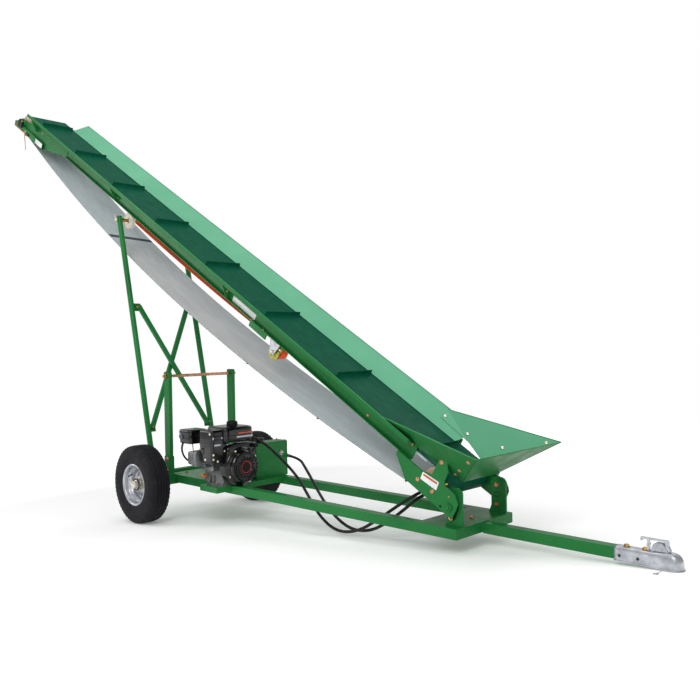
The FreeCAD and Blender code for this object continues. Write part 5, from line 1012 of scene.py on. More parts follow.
class CONVEYOR_OT_winch(bpy.types.Operator):
    """Makes the strap winch: toothed gear, wound drum, webbing and bolts"""
    bl_idname = "conveyor.winch"
    bl_label = "Winch"

    def execute(self, context):
        dress("zinc", "winch_frame")
        reach, height = WINCH
        pinion_place = (reach - 0.046, 0, height + 0.040)
        gear = [lofted(gear_outline(sizes().gear_teeth, 0.0452, 0.0482), soft_edge(0.146, 0.155, 0.0008, 3),
                       (reach, 0, height), X, Z, -Y, boom),
                turned([(0.1545, 0.036), (0.1552, 0.0345), (0.1552, 0.016), (0.158, 0.0145), (0.163, 0.0145),
                        (0.163, 0.0082)], (reach, 0, height), -Y, boom, 40),
                lofted(gear_outline(12, 0.0105, 0.0145), soft_edge(0.144, 0.157, 0.0006, 3), pinion_place, X, Z,
                       -Y, boom)]
        for angle in np.arange(5) * math.tau / 5:
            place = (reach + 0.026 * math.cos(angle), 0, height + 0.026 * math.sin(angle))
            # The gear's holes are near-black discs of painted shade
            gear.append(turned([(0.1549, 0.0052), (0.1556, 0.0052), (0.1556, 0.0)], place, -Y, boom, 18, 1))
        piece("winch_wheel", gear, ["gear_zinc", "inside_dark"], "boom", ("winch_gear",))
        piece("winch_webbing", self.strap(), "strap_orange", "boom", ("winch_strap",), sharp=60)
        size = sizes().bolt
        bolts = place_bolts([(reach, -0.170, height)], -Y, size, boom, nut_and_thread)
        bolts += place_bolts([(pinion_place[0], -0.1575, pinion_place[2])], -Y, size * 0.6, boom)
        piece("winch_bolts", bolts, "bright_bolt", "boom")
        return {"FINISHED"}

    def strap(self):
        """Webbing wound on the drum as a spiral, radius growing 2.2 mm a turn, then along the boom with a slight
        sag to an eye round the legs' top shaft."""
        reach, height = WINCH
        turns, run_height, growth, eye_radius = 5.25, -0.0948, 0.0022, 0.0136
        shaft = np.array([3.3460, -0.1083])
        t = np.linspace(0, 1, 230)
        angle = math.pi / 2 + turns * math.tau * (1 - t)
        radius = run_height - height - growth * turns * (1 - t)
        coil = np.stack([reach + radius * np.cos(angle), height + radius * np.sin(angle)], -1)
        t = np.linspace(0.0, 1.0, 60)[1:]
        sag = run_height + (shaft[1] - eye_radius - run_height) * t - 0.048 * t * (1 - t)
        line = np.concatenate([coil, np.stack([reach + (shaft[0] - reach) * t, sag], -1)])
        step = unit(np.gradient(line, axis=0))
        normal = np.stack([-step[:, 1], step[:, 0]], -1)
        edge = np.array([-0.130, -0.1285, -0.0815, -0.080])
        thick = np.array([0.0004, 0.0009, 0.0009, 0.0004])
        y, thick = np.concatenate([edge, edge[::-1]]), np.concatenate([thick, -thick])
        flat = line[:, None] + normal[:, None] * thick[None, :, None]
        points = np.stack([flat[..., 0], np.broadcast_to(y, flat.shape[:2]), flat[..., 1]], -1)
        around = np.linspace(0, math.tau, 28, endpoint=False)[None]
        width, swell = edge[:, None], np.array([1.0, 1.07, 1.07, 1.0])[:, None] * eye_radius
        eye = np.stack([shaft[0] + swell * np.cos(around), np.broadcast_to(width, (4, 28)),
                        shaft[1] + swell * np.sin(around)], -1)
        return [skin(boom(points)), skin(boom(eye))]


# ---------------------------------------------------------------- coupler
class CONVEYOR_OT_coupler(bpy.types.Operator):
    """Dresses the ball coupler and adds its bolts, rivets, side holes drawn as dark discs of painted shade,
    spring and safety pin
    """
    bl_idname = "conveyor.coupler"
    bl_label = "Coupler"

    def execute(self, context):
        dress("zinc", "coupler_latch")
        shell = [skin(level(coupler_skin()), caps=False), coupler_end(), coupler_socket()]
        piece("coupler_shell", shell, "zinc", "chassis", ("coupler_body",), sharp=40)
        cheek = [(0.802, 0.002), (0.812, 0.030), (0.824, 0.038), (0.850, 0.0385), (0.862, 0.026), (0.874, 0.004)]
        catch = [(0.869, 0.004), (0.869, 0.047), (0.8735, 0.0475), (0.874, 0.030), (0.884, 0.0095)]
        cheeks, holes, rings, rivets = [], [], [], []
        for side, out in SIDES:
            cheeks.append(lofted(rounded_outline(cheek, 0.006), soft_edge(0.0, 0.0026, 0.0006, 3),
                                 (0, side * 0.0086, 0), X, Z, out))
            for x in (0.679, 0.757):
                place = (x, side * 0.0285, -0.0365)
                # Each side hole is a dark green disc of painted shade inside a rim
                holes.append(turned([(-0.0008, 0.0068), (0.0003, 0.0068), (0.0003, 0.0)], place, out))
                rings.append(turned([(-0.0005, 0.0064), (0.0006, 0.0068), (0.0008, 0.0078), (-0.0003, 0.0086)],
                                    place, out))
            for x, y, z, radius in ((0.830, 0.0285, -0.036, 0.0055), (0.791, 0.0118, 0.024, 0.0050),
                                    (0.845, 0.0118, 0.016, 0.0060)):
                rivets += dome_bolt((x, side * y, z), out, radius)
        cheeks.append(lofted(rounded_outline(catch, 0.002), soft_edge(-0.009, 0.009, 0.001, 3), (0, 0, 0), X, Z,
                             Y))
        piece("coupler_cheeks", cheeks, "zinc", "chassis")
        size = sizes().bolt
        bolts = place_bolts([(0.6985, 0, 0.0), (0.7768, 0, 0.0)], Z, size * 1.05)
        bolts += place_bolts([(0.6985, 0, -0.0548), (0.7768, 0, -0.0548)], -Z, size * 0.4, kind=nut_and_thread)
        piece("coupler_bolts", bolts, "brass_bolt", "chassis")
        piece("coupler_holes", holes, "hole_green", "chassis")
        piece("coupler_rings", rings, "zinc", "chassis")
        piece("coupler_rivets", rivets, "zinc", "chassis")
        piece("coupler_pin", self.spring_and_pin(), "zinc", "chassis")
        return {"FINISHED"}

    def spring_and_pin(self):
        """The latch's coil spring, and the safety pin's wire hanging to a ring on the floor."""
        t = np.linspace(0, 1, 260)
        turn = t * 9 * math.tau
        coil = np.stack([0.832 + 0.022 * t, 0.0062 * np.cos(turn),
                         0.034 - 0.006 * t + 0.0062 * np.sin(turn)], -1)
        hang = level(np.array([(0.858, -0.0335, -0.052), (0.860, -0.044, -0.050)]))
        drop = np.array([[0.002, -0.012, 0], [0.0, -0.022, 0], [-0.006, -0.036, 0]]) + hang[1]
        drop[:, 2] = [0.007, 0.0022, 0.0022]
        turn = np.linspace(0, math.tau, 37)
        ring = drop[-1] + np.stack([0.0088 * np.sin(turn), -0.0088 + 0.0088 * np.cos(turn), 0 * turn], -1)
        return [swept(coil, 0.0011, level, 0, 8), swept(bent_path([*hang, *drop], 40), 0.0014, parked),
                swept(ring, 0.0019, parked)]


NOSE_X, NOSE_RADIUS, COUPLER_WALL, COUPLER_RIM = 0.898, 0.0334, 0.0031, 0.037
BALL_RADIUS, BALL_HEIGHT = 0.0256, -0.046


def coupler_shape():
    """Half width, top and corner power at each station: straight over the drawbar, flaring to the neck, then a
    circle in plan and an ellipse in side view round the nose."""
    round_nose = NOSE_X + NOSE_RADIUS * np.sin(np.linspace(-0.25, 1.565, 26))
    x = np.concatenate([np.linspace(0.656, 0.888, 26), round_nose])
    width = np.interp(x, (0.656, 0.800, 0.888, NOSE_X), (0.0285, 0.0285, 0.0328, NOSE_RADIUS))
    width = np.where(x > NOSE_X, np.sqrt(np.maximum(NOSE_RADIUS ** 2 - (x - NOSE_X) ** 2, 1e-9)), width)
    top = np.interp(x, (0.656, 0.800, 0.888), (-0.0010, -0.0010, 0.0060))
    top = np.where(x > 0.888, -0.034 + 0.040 * np.sqrt(np.clip(1 - ((x - 0.888) / 0.0438) ** 2, 0, 1)), top)
    power = np.interp(x, (0.656, 0.790, 0.880, 0.932), (9.0, 7.0, 3.6, 2.4))
    return x[:, None], width[:, None], top[:, None], power[:, None]


def coupler_skin():
    """An inverted U at every station: y = w * |cos a|^(2/p), z = foot + height * |sin a|^(2/p), with a rim
    turned out along both feet and the same curve again inside it."""
    x, width, top, power = coupler_shape()
    nose = x > NOSE_X
    a = np.linspace(0, math.pi, 41)[None]
    foot, inner_foot = -0.057, -0.060
    spread = np.sign(np.cos(a)) * np.abs(np.cos(a)) ** (2 / power)
    lift = np.sin(a).clip(0) ** (2 / power)
    outer = np.stack([np.broadcast_to(x, lift.shape), width * spread, foot + (top - foot) * lift], -1)
    ahead = NOSE_X + (x - NOSE_X) * np.where(nose, (NOSE_RADIUS - COUPLER_WALL) / NOSE_RADIUS, 1.0)
    inner = np.stack([np.broadcast_to(ahead, lift.shape), np.maximum(width - COUPLER_WALL, 1e-5) * spread,
                      inner_foot + (top - COUPLER_WALL - inner_foot).clip(0.002) * lift], -1)[:, ::-1]
    reach = NOSE_X + (x - NOSE_X) * np.where(nose, COUPLER_RIM / NOSE_RADIUS, 1.0)
    rim = width + (COUPLER_RIM - NOSE_RADIUS) * np.where(nose, width / NOSE_RADIUS, 1.0)
    share = np.array([0.9, 1.0, 1.0, 0.8])
    height = np.broadcast_to([-0.0600, -0.0592, -0.0575, -0.0568], (len(x), 4))
    left = np.stack([x + (reach - x) * share, width + (rim - width) * share, height], -1)
    return np.concatenate([left, outer, left[:, ::-1] * (1, -1, 1), inner], 1)


def coupler_end():
    """The cut rear end of the pressed coupler, joining its outer and inner curves."""
    back = coupler_skin()[:1]
    return skin(level(np.concatenate([back, back + [0.0008, 0.0, 0.0]])))


def coupler_socket():
    """The ball cup under the nose: a short cylinder and a half sphere, with its own wall."""
    angle = np.linspace(0, math.pi / 2, 12)
    inner, outer = [np.stack([BALL_HEIGHT + radius * np.sin(angle), radius * np.cos(angle)], -1)
                    for radius in (BALL_RADIUS, BALL_RADIUS + 0.003)]
    profile = np.concatenate([[(-0.0598, BALL_RADIUS)], inner, outer[::-1], [(-0.0598, 0.0292)]])
    return skin(turned_grid(profile, (NOSE_X, 0, 0), Z), wrap_rows=True)


# ---------------------------------------------------------------- engine
CRANK = np.array([0.0, -0.195, 0.120])


def sector(centre, direction, inner, outer, start, end, low, high, paint=0, bend=0.0):
    """A plate between two radii and two angles; a bend leans it round like a fan blade."""
    across, up, along = basis(direction)
    angle = np.linspace(start, end, 7)[None]
    radius = np.array([inner, inner, (inner + outer) / 2, outer, outer, (inner + outer) / 2])[:, None]
    rise = np.array([low, high, high, high, low, low])[:, None]
    lean = bend * (radius - inner) / (outer - inner)
    ring = np.cos(angle + lean)[..., None] * across + np.sin(angle + lean)[..., None] * up
    points = centre + radius[..., None] * ring + rise[..., None] * along
    return skin(level(points.transpose(1, 0, 2)), paint)


class CONVEYOR_OT_engine(bpy.types.Operator):
    """Builds the engine's housings, tank, air cleaner, covers and screws"""
    bl_idname = "conveyor.engine"
    bl_label = "Engine"

    def execute(self, context):
        dress("engine_cast", "engine_block")
        self.fan_side()
        self.upper_side()
        self.tank()
        self.small_parts()
        return {"FINISHED"}

    def fan_side(self):
        """Fan housing and recoil cover, turned about the crankshaft, with cooling slots in two rings drawn as
        near-black plates of painted shade.
        """
        base = CRANK + X * -1.700
        housing = [(0.0, 0.1205), (0.002, 0.122), (0.046, 0.122), (0.056, 0.1195), (0.063, 0.1135),
                   (0.0665, 0.106), (0.0680, 0.1015), (0.0700, 0.1000), (0.0900, 0.0985), (0.0975, 0.0930),
                   (0.1005, 0.0840), (0.1010, 0.0760), (0.0990, 0.0730), (0.0990, 0.0680), (0.1015, 0.0650),
                   (0.1025, 0.0480), (0.1015, 0.0440), (0.1000, 0.0425), (0.1000, 0.0380), (0.1030, 0.0365),
                   (0.1030, 0.0)]
        parts = [turned(housing, base, X, steps=96)]
        # The first two rings are slots drawn as near-black plates of painted shade; the third is ribs
        for count, inner, outer, sweep, low, high, paint, bend in (
                (22, 0.0775, 0.0905, 0.16, 0.0970, 0.1011, 1, 0.10),
                (16, 0.0490, 0.0640, 0.19, 0.1000, 0.1026, 1, 0.16),
                (30, 0.1200, 0.1226, 0.10, 0.010, 0.040, 0, 0.0)):
            for angle in np.arange(count) * math.tau / count:
                parts.append(sector(base, X, inner, outer, angle, angle + sweep, low, high, paint, bend))
        parts.append(turned([(0.1022, 0.0375), (0.1034, 0.0372), (0.1036, 0.0365), (0.1036, 0.0325),
                             (0.1030, 0.0320)], base, X, steps=60, paint=2))
        parts.append(turned([(0.1024, 0.0322), (0.1033, 0.0322), (0.1034, 0.0316), (0.1034, 0.0)], base, X,
                            steps=60, paint=3))
        shroud = [(-0.300, 0.150), (-0.300, 0.246), (-0.235, 0.262), (-0.090, 0.262), (-0.075, 0.150)]
        parts.append(lofted(rounded_outline(shroud, 0.03), soft_edge(-1.699, -1.646, 0.008), (0, 0, 0), Y, Z, X))
        piece("engine_recoil", parts, ["black_enamel", "inside_dark", "badge_red", "black_plastic"], "chassis",
              ("engine_fan_housing",), sharp=28)
        piece("recoil_grip", [block((-1.655, -0.110, 0.228), (-1.612, -0.085, 0.252), 0.008)], "black_plastic",
              "chassis")
        places = [base + X * 0.0665 + (Y * math.cos(angle) + Z * math.sin(angle)) * 0.1095
                  for angle in np.arange(4) * math.tau / 4 + 0.5]
        piece("recoil_screws", place_bolts(places, X, sizes().small_bolt), "bright_bolt", "chassis")

    def upper_side(self):
        """Shroud over the cylinder, finned neck, rocker cover and air cleaner."""
        black = [lofted(box_outline((-1.806, -0.392), (-1.672, -0.275), 0.018, 7),
                        soft_edge(0.150, 0.352, 0.014, 6), (0, 0, 0), X, Y, Z),
                 block((-1.7985, -0.3945, 0.262), (-1.688, -0.380, 0.276), 0.003),
                 block((-1.790, -0.3955, 0.205), (-1.752, -0.385, 0.248), 0.006),
                 block((-1.676, -0.378, 0.292), (-1.6695, -0.325, 0.318), 0.003)]
        piece("engine_shroud", black, "black_enamel", "chassis", ("engine_cylinder",), sharp=30)
        plates = [plate_on_x(-1.6722, (-0.386, 0.2965), (-0.314, 0.3095)),
                  plate_on_x(-1.6722, (-0.374, 0.2565), (-0.328, 0.2675))]
        piece("engine_plates", plates, "label_grey", "chassis")
        fins = [block((-1.850, -0.372, z), (-1.795, -0.268, z + 0.004), 0.010, rim=0.001)
                for z in np.linspace(0.122, 0.212, sizes().fin_count + 2)]
        fins.append(block((-1.842, -0.362, 0.115), (-1.795, -0.275, 0.222), 0.012))
        fins.append(block((-1.852, -0.330, 0.090), (-1.760, -0.262, 0.150), 0.012))
        piece("cylinder_fins", fins, "engine_cast", "chassis")
        outline = box_outline((-0.418, 0.122), (-0.315, 0.222), 0.022, 7)
        crown = [(-1.8395, 0.0), (-1.8455, 0.0), (-1.8465, 0.006), (-1.8990, 0.010), (-1.9080, 0.0135),
                 (-1.9130, 0.020), (-1.9150, 0.030)]
        cover = [lofted(outline, profile, (0, 0, 0), Y, Z, X)
                 for profile in (crown, soft_edge(-1.8395, -1.8065, 0.002))]
        piece("rocker_cover", cover, "engine_cast", "chassis")
        body = [pillow((-2.018, -0.397, 0.252), (-1.890, -0.262, 0.306), 7.0),
                pillow((-2.024, -0.400, 0.298), (-1.890, -0.262, 0.342), 6.0),
                block((-2.021, -0.3985, 0.2965), (-1.892, -0.2635, 0.3035), 0.016, rim=0.002),
                block((-1.900, -0.345, 0.262), (-1.800, -0.285, 0.322), 0.012)]
        piece("air_cleaner", body, "black_enamel", "chassis", ("engine_air_cleaner",), 40, "black_plastic")
        knob = turned([(0, 0.019), (0.006, 0.019), (0.008, 0.0165), (0.010, 0.010), (0.013, 0.0095),
                       (0.0145, 0.006)], (-1.9872, -0.3965, 0.2995), -Y)
        piece("air_cleaner_knob", [knob], "blued", "chassis")

    def tank(self):
        """Fuel tank in two pressed halves with a seam, its neck and a ribbed cap."""
        low, high = np.array([-1.850, -0.320, 0.270]), np.array([-1.640, -0.090, 0.365])
        inset = np.array([0.004, 0.004, 0])
        shell = [pillow(low + inset, high - inset, 7.0, rows=26, columns=72),
                 block((*low[:2], 0.3110), (*high[:2], 0.3145), 0.038, rim=0.0012, steps=9),
                 turned([(0.0, 0.045), (0.004, 0.041), (0.009, 0.034), (0.011, 0.031)], (-1.700, -0.220, 0.3575),
                        Z),
                 block((-1.683, -0.300, 0.262), (-1.652, -0.282, 0.366), 0.006)]
        piece("fuel_tank_shell", shell, "black_enamel", "chassis", ("fuel_tank",), sharp=35)
        angle = np.linspace(0, math.tau, 144, endpoint=False)
        ribbed = 0.0325 + 0.0015 * np.clip(np.cos(angle * 24) * 2, -1, 1)
        outline = np.stack([ribbed * np.cos(angle), ribbed * np.sin(angle)], -1)
        crown = [(0.366, 0.001), (0.368, 0.0), (0.388, 0.0), (0.393, 0.0025), (0.396, 0.007), (0.397, 0.014)]
        piece("fuel_cap", [lofted(outline, crown, (-1.700, -0.220, 0), X, Y, Z)], "black_plastic", "chassis")
        piece("tank_plates", [plate_on_x(-1.6402, (-0.232, 0.2975), (-0.108, 0.3075)),
                              plate_on_x(-1.6402, (-0.222, 0.3200), (-0.108, 0.3290), 1)],
              ["label_grey", "label_band"], "chassis")

    def small_parts(self):
        """Screws, foot bolts, dipstick, pipes, carburettor and the ribs of the crankcase."""
        small = sizes().small_bolt
        screws = place_bolts([(-1.798, -0.3925, 0.236), (-1.741, -0.3925, 0.173), (-1.690, -0.3925, 0.330)], -Y,
                             small)
        screws += place_bolts([(-1.6715, -0.383, 0.206), (-1.6715, -0.383, 0.179), (-1.6715, -0.352, 0.164),
                               (-1.6715, -0.300, 0.222)], X, small)
        screws += place_bolts([(-1.847, -0.404, 0.136), (-1.847, -0.404, 0.208)], -X, small)
        screws += place_bolts([(-1.9145, y, z) for y in (-0.389, -0.344) for z in (0.1504, 0.1936)], -X,
                              small * 0.9)
        piece("engine_screws", screws, "bright_bolt", "chassis")
        foot = place_bolts([(-1.840, -0.290, 0.016), (-1.764, -0.290, 0.016), (-1.840, -0.100, 0.016),
                            (-1.720, -0.100, 0.016)], Z, small * 1.5)
        piece("engine_foot_bolts", foot, "brass", "chassis")
        stick, tilt = (-1.868, -0.302, 0.052), unit(-Y + Z * 0.25)
        dip = [turned([(0, 0.010), (0.004, 0.012), (0.010, 0.012), (0.012, 0.0095), (0.020, 0.0095)], stick,
                      tilt),
               lofted(box_outline((-0.016, -0.0035), (0.016, 0.0035), 0.003), soft_edge(0.018, 0.033, 0.002),
                      stick, *basis(tilt))]
        piece("dipstick", dip, "orange_plastic", "chassis")
        breather = bent_path([(-1.985, -0.385, 0.262), (-1.990, -0.396, 0.225), (-1.972, -0.398, 0.182),
                              (-1.938, -0.390, 0.152), (-1.902, -0.380, 0.146)], 48)
        lead = bent_path([(-1.700, -0.300, 0.215), (-1.690, -0.325, 0.245), (-1.700, -0.345, 0.150),
                          (-1.760, -0.352, 0.120), (-1.830, -0.345, 0.135)], 48)
        piece("engine_pipes", [swept(breather, 0.0062, steps=14), swept(lead, 0.0034, steps=10)], "hose_rubber",
              "chassis")
        elbow = bent_path([(-1.876, -0.300, 0.222), (-1.882, -0.316, 0.242), (-1.890, -0.330, 0.262)], 16)
        parts = [swept(straight((-1.930, -0.355, 0.256), (-1.930, -0.350, 0.205), 6), 0.003),
                 swept(elbow, 0.0045), *place_bolts([(-1.8735, -0.303, 0.140)], -X, small),
                 turned([(0, 0.018), (0.020, 0.018), (0.024, 0.014)], (-1.868, -0.262, 0.205), -Y),
                 block((-1.889, -0.300, 0.225), (-1.852, -0.262, 0.262), 0.008)]
        piece("carburettor", parts, "engine_cast", "chassis")
        ribs = [block((x, -0.3035, 0.0155), (x + 0.006, -0.262, 0.060), 0.003) for x in (-1.832, -1.795)]
        ribs += [block((-1.897, y, 0.020), (-1.893, y + 0.008, 0.150), 0.002) for y in (-0.270, -0.195, -0.120)]
        piece("crankcase_ribs", ribs, "engine_cast", "chassis")


def plate_on_x(x, low, high, paint=0):
    """A thin blank plate facing forwards, between two (y, z) corners."""
    return lofted(box_outline(low, high, 0.003), soft_edge(x - 0.0004, x + 0.0007, 0.0003, 3), (0, 0, 0), Y, Z,
                  X, level, paint)


# ---------------------------------------------------------------- hydraulics
PRESSURE_HOSE = [(-1.978, -0.172, 0.196), (-1.962, -0.098, 0.268), (-1.840, -0.020, 0.290),
                 (-1.690, 0.010, 0.246), (-1.500, -0.015, 0.172), (-1.310, -0.040, 0.076),
                 (-1.150, -0.100, -0.010), (-1.020, -0.135, -0.105), (-0.875, -0.145, -0.168),
                 (-0.720, -0.142, -0.143), (-0.570, -0.140, -0.056), (-0.425, -0.140, 0.042),
                 (-0.340, -0.085, 0.104), (-0.350, 0.040, 0.116), (-0.405, 0.165, 0.130),
                 (-0.341, 0.262, 0.162), (-0.238, 0.268, 0.190)]
RETURN_HOSE = [(-1.762, 0.278, 0.120), (-1.610, 0.250, 0.118), (-1.470, 0.170, 0.084), (-1.330, 0.095, 0.038),
               (-1.200, 0.030, -0.018), (-1.060, -0.050, -0.052), (-0.940, -0.085, -0.110),
               (-0.800, -0.105, -0.152), (-0.655, -0.112, -0.136), (-0.525, -0.115, -0.068),
               (-0.415, -0.112, 0.014), (-0.352, -0.060, 0.082), (-0.352, 0.080, 0.092), (-0.395, 0.200, 0.105),
               (-0.340, 0.300, 0.150), (-0.238, 0.306, 0.190)]


def hose_line(name, route):
    """A smooth curve pulled by the route's points, as a line of points in the parked frame."""
    points = level(np.array(route))
    curve = bpy.data.curves.new(name, "CURVE")
    curve.dimensions = "3D"
    curve.resolution_u = 14
    spline = curve.splines.new("NURBS")
    spline.points.add(len(points) - 1)
    spline.points.foreach_set("co", np.concatenate([points, np.ones((len(points), 1))], 1).ravel())
    spline.order_u = 3
    spline.use_endpoint_u = True
    carrier = in_scene(name + "_line", curve)
    bpy.context.view_layer.update()
    mesh = bpy.data.meshes.new_from_object(carrier)
    line = np.empty(len(mesh.vertices) * 3)
    mesh.vertices.foreach_get("co", line)
    line = line.reshape(-1, 3)
    length = float(np.linalg.norm(np.diff(line, axis=0), axis=1).sum())
    bpy.data.objects.remove(carrier)
    bpy.data.curves.remove(curve)
    bpy.data.meshes.remove(mesh)
    return line, length


def carried(line, radius):
    """A tube whose section is carried along a bending line without twisting: each ring is the last one turned
    by the smallest angle that lines it up with the line's next direction."""
    along = unit(np.gradient(line, axis=0))
    side = np.empty_like(line)
    side[0] = basis(along[0])[0]
    for index in range(1, len(line)):
        rest = side[index - 1] - along[index] * (side[index - 1] @ along[index])
        side[index] = rest / np.linalg.norm(rest)
    lift = np.cross(along, side)
    angle = np.linspace(0, math.tau, 14, endpoint=False)
    ring = np.cos(angle)[None, :, None] * side[:, None] + np.sin(angle)[None, :, None] * lift[:, None]
    return skin(line[:, None] + radius * ring)


class CONVEYOR_OT_hydraulics(bpy.types.Operator):
    """Makes both hoses with their fittings and dresses the pump, motor and oil tank"""
    bl_idname = "conveyor.hydraulics"
    bl_label = "Hydraulics"

    def execute(self, context):
        dress("motor_black", "hydraulic_pump hydraulic_motor")
        diameter = sizes().hose_diameter
        for name, route, node in (("pressure_line", PRESSURE_HOSE, "pressure_hose"),
                                  ("return_line", RETURN_HOSE, "return_hose")):
            line, length = hose_line(name, route)
            hose = piece(name, [carried(line, diameter / 2)], "hose_rubber", None, (node,), sharp=60)
            tuple(level(np.array((-0.720, 0.0, -0.100))))
            tuple(level(np.array((-0.300, 0.150, 0.130))))
            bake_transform(hose)
            tuple(line[0])
            [tuple(point) for point in line]
            for end, body, tag in ((line, "chassis", "near"), (line[::-1], "boom", "far")):
                piece(name + "_" + tag + "_ferrule", self.ferrule(end, diameter / 2), "steel", body)
        self.tank_fittings()
        self.pump_and_motor()
        return {"FINISHED"}

    def ferrule(self, line, radius):
        """A crimped sleeve that tapers onto the hose, with a hexagon behind it."""
        sleeve = [(-0.012, radius * 0.9), (-0.012, radius + 0.0030), (-0.009, radius + 0.0036),
                  (-0.004, radius + 0.0022), (0.000, radius + 0.0030), (0.012, radius + 0.0030),
                  (0.015, radius + 0.0018), (0.018, radius + 0.0028), (0.030, radius + 0.0026),
                  (0.040, radius + 0.0014), (0.044, radius + 0.0004), (0.044, radius * 0.9)]
        across, up, along = basis(line[1] - line[0])
        return [turned(sleeve, line[0], along, parked, 28),
                lofted(np.array(HEXAGON) * (radius + 0.0058), soft_edge(-0.024, -0.011, 0.0015, 3), line[0],
                       across, up, along, parked)]

    def tank_fittings(self):
        """Filler with a breather cap, a sight glass, weld lines and the lid's screws."""
        filler = turned([(0.0, 0.026), (0.006, 0.026), (0.008, 0.022), (0.014, 0.022), (0.015, 0.031),
                         (0.026, 0.031), (0.031, 0.027), (0.0335, 0.015)], (-1.785, 0.060, 0.2255), Z, steps=40)
        piece("oil_filler", [filler], "black_plastic", "chassis")
        glass = turned([(0, 0.017), (0.004, 0.017), (0.006, 0.014), (0.0062, 0.0)], (-1.7352, 0.200, 0.150), X,
                       steps=36)
        piece("oil_sight_ring", [glass], "steel", "chassis")
        seams = [weld_bead((x, y, 0.004), (x, y, 0.222), 0.0028)
                 for x, y in ((-1.7345, -0.010), (-1.7345, 0.250), (-1.8355, -0.010))]
        seams.append(block((-1.8365, -0.0115, 0.2225), (-1.7335, 0.2515, 0.2275), 0.003))
        piece("oil_tank_seams", seams, "frame_green", "chassis")
        screws = place_bolts([(x, y, 0.2275) for y in (0.000, 0.240) for x in (-1.826, -1.744)], Z, 0.006)
        piece("oil_tank_screws", screws, "bolt_zinc", "chassis")

    def pump_and_motor(self):
        """Screws of the pump and the motor, and the bands round the motor's body."""
        screws = place_bolts([(-2.0045, y, z) for y in (-0.228, -0.162) for z in (0.087, 0.153)], -X, 0.0065)
        piece("pump_screws", screws, "steel", "chassis")
        reach, height = 0.154, -0.075
        corners = [(reach + r, 0.2322, height + n) for r in (-0.035, 0.035) for n in (-0.035, 0.035)]
        screws = place_bolts(corners, Y, 0.0075, boom)
        piece("motor_screws", screws, "steel", "boom")
        band = [(0.0, 0.0425), (0.001, 0.0442), (0.005, 0.0442), (0.006, 0.0425)]
        bands = [turned(band, (reach, y, height), Y, boom) for y in (0.262, 0.292, 0.316)]
        bands.append(turned([(0.0, 0.034), (0.003, 0.030), (0.0045, 0.018), (0.0045, 0.0)],
                            (reach, 0.3355, height), Y, boom, 40))
        piece("motor_bands", bands, "motor_black", "boom")


# ---------------------------------------------------------------- head end
class CONVEYOR_OT_head(bpy.types.Operator):
    """Adds the head end's clips and tie cord"""
    bl_idname = "conveyor.head"
    bl_label = "Head end"

    def execute(self, context):
        clips = [block(*upright(side, (5.222, -0.139), (5.250, -0.112), 0.2115, 0.2150), 0.002, boom)
                 for side, _ in SIDES]
        cord = bent_path([(5.302, -0.214, -0.122), (5.288, -0.226, -0.140), (5.268, -0.224, -0.172),
                          (5.243, -0.222, -0.212), (5.220, -0.220, -0.252)], 60)
        a = np.linspace(0, math.tau, 33)
        loop = np.stack([5.304 + 0.010 * np.cos(a), -0.2190 + 0.003 * np.sin(a), -0.120 + 0.011 * np.sin(a)], -1)
        piece("head_clips", clips, "black_plastic", "boom")
        piece("head_tie", [swept(cord, 0.0042, boom, 0, 10, 0.12, 0.006), swept(loop, 0.0032, boom, 0, 10)],
              "cord_twine", "boom")
        return {"FINISHED"}


# ---------------------------------------------------------------- stage
CAMERA_PLACE = np.array([2.09124, -3.05128, 0.86599])
CAMERA_RIGHT = np.array([0.71523, 0.69869, -0.01690])
CAMERA_UP = np.array([0.00516, 0.01890, 0.99981])
CAMERA_AHEAD = np.array([-0.69887, 0.71518, -0.00992])
SENSOR_WIDTH, LENS = 36.0, 39.1474286
WORLD_LIGHT = 0.5
LAMPS = (("Overhead", (-0.2, -0.4, 6.2), (-0.4, 0.0, 1.0), 105.0, 6.0, 4.0),
         ("Key", (3.6, -4.6, 4.2), (-0.4, 0.0, 1.0), 150.0, 3.0, 3.0),
         ("Fill", (-5.5, -4.0, 3.0), (-0.6, 0.0, 1.2), 70.0, 3.0, 3.0),
         ("Rim", (1.0, 5.0, 4.5), (-0.4, 0.0, 1.4), 50.0, 4.0, 2.5))


def lamp(name, place, target, power, width, height):
    """A rectangular lamp at a place, turned to a target."""
    data = bpy.data.lights.new(name, "AREA")
    data.shape = "RECTANGLE"
    data.size, data.size_y, data.energy = width, height, power
    thing = in_scene(name, data)
    thing.location = place
    thing.rotation_euler = (Vector(target) - Vector(place)).to_track_quat("-Z", "Y").to_euler()
    return thing


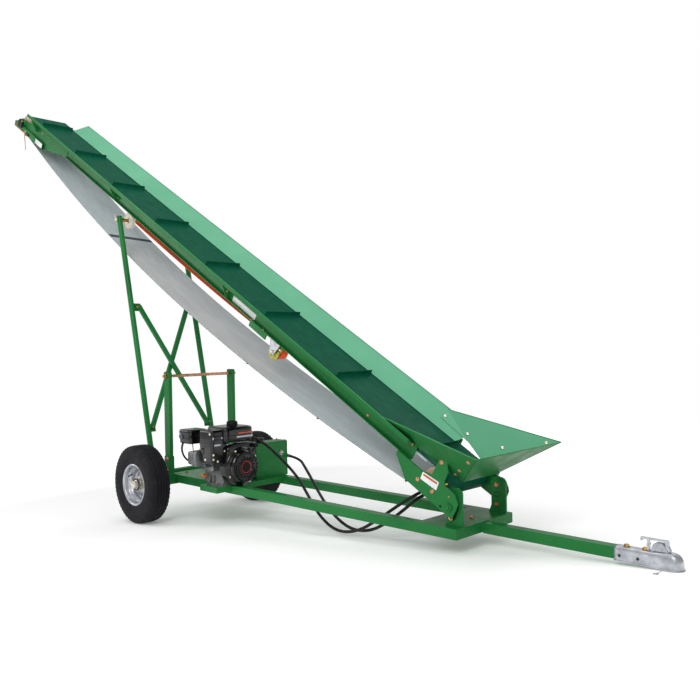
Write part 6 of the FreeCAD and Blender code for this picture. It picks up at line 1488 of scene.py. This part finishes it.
class CONVEYOR_OT_stage(bpy.types.Operator):
    """Lays the floor, hangs the lamps and sets up the camera"""
    bl_idname = "conveyor.stage"
    bl_label = "Stage"

    def execute(self, context):
        scene = context.scene
        scene.view_settings.view_transform = "Standard"
        scene.world = self.world()
        self.floor()
        [lamp(*row) for row in LAMPS]
        data = bpy.data.cameras.new("Camera")
        data.lens, data.sensor_width, data.clip_end = LENS, SENSOR_WIDTH, 200.0
        camera = in_scene("Camera", data)
        matrix = np.eye(4)
        for column, axis in enumerate((CAMERA_RIGHT, CAMERA_UP, -CAMERA_AHEAD)):
            matrix[:3, column] = turned_about_y(axis, PARK_TILT)
        matrix[:3, 3] = level(CAMERA_PLACE)
        camera.matrix_world = Matrix(matrix.tolist())
        scene.camera = camera
        return {"FINISHED"}

    def world(self):
        """A white surrounding: full strength to the camera, dimmer as a light."""
        world = bpy.data.worlds.new("Studio")
        world.use_nodes = True
        tree = world.node_tree
        back = tree.nodes["Background"]
        back.inputs["Color"].default_value = (1, 1, 1, 1)
        path = tree.nodes.new("ShaderNodeLightPath")
        pick = tree.nodes.new("ShaderNodeMapRange")
        pick.inputs["To Min"].default_value = WORLD_LIGHT
        pick.inputs["To Max"].default_value = 1.0
        tree.links.new(path.outputs["Is Camera Ray"], pick.inputs["Value"])
        tree.links.new(pick.outputs["Result"], back.inputs["Strength"])
        return world

    def floor(self):
        """A wide flat floor, one grid of points, that fades to the white surrounding far out."""
        x, y = np.meshgrid(np.linspace(-30, 30, 25), np.linspace(-30, 30, 25), indexing="ij")
        points = np.stack([x, y, np.full_like(x, -0.0005)], -1)
        mesh = bpy.data.meshes.new("Floor")
        mesh.from_pydata(points.reshape(-1, 3).tolist(), [], quads(25, 25, wrap_columns=False).tolist())
        r = Recipe("Floor")
        distance = r.add("ShaderNodeVectorMath", {"operation": "LENGTH"}, Vector=r.place).outputs["Value"]
        base = r.toned(r.patches(0.7, 2.0, 0.3, 0.7), (249, 249, 249), (252, 252, 252))
        base = r.mixed(r.ranged(distance, 3.4, 6.5), base, (0, 0, 0, 1))
        mesh.materials.append(r.set(Base_Color=base, Roughness=0.9, Emission_Color=(1, 1, 1, 1),
                                    Emission_Strength=r.ranged(distance, 2.4, 5.4, 0.15, 1.0),
                                    Specular_IOR_Level=0.0))
        return in_scene("Floor", mesh)


# ---------------------------------------------------------------- panel and order of work
WORK = (CONVEYOR_OT_frame, CONVEYOR_OT_wheels, CONVEYOR_OT_belt, CONVEYOR_OT_boom, CONVEYOR_OT_legs,
        CONVEYOR_OT_winch, CONVEYOR_OT_coupler, CONVEYOR_OT_engine, CONVEYOR_OT_hydraulics, CONVEYOR_OT_head,
        CONVEYOR_OT_stage)


class CONVEYOR_PT_panel(bpy.types.Panel):
    """Sizes and colours of the conveyor's dressing, and a button for each group of pieces"""
    bl_idname = "CONVEYOR_PT_panel"
    bl_label = "Firewood conveyor"
    bl_space_type = "VIEW_3D"
    bl_region_type = "UI"
    bl_category = "Conveyor"

    def draw(self, context):
        for group in (context.scene.conveyor_sizes, context.scene.conveyor_paint):
            for name in group.__annotations__:
                self.layout.prop(group, name)
        for operator in WORK:
            self.layout.operator(operator.bl_idname)


CLASSES = (ConveyorPaint, ConveyorSizes) + WORK + (CONVEYOR_PT_panel,)


def register():
    for cls in CLASSES:
        bpy.utils.register_class(cls)
    bpy.types.Scene.conveyor_paint = bpy.props.PointerProperty(type=ConveyorPaint)
    bpy.types.Scene.conveyor_sizes = bpy.props.PointerProperty(type=ConveyorSizes)


def unregister():
    del bpy.types.Scene.conveyor_sizes
    del bpy.types.Scene.conveyor_paint
    for cls in reversed(CLASSES):
        bpy.utils.unregister_class(cls)


def main():
    register()
    for operator in WORK:
        getattr(bpy.ops.conveyor, operator.bl_idname.split(".")[1])()


if __name__ == "__main__":
    main()
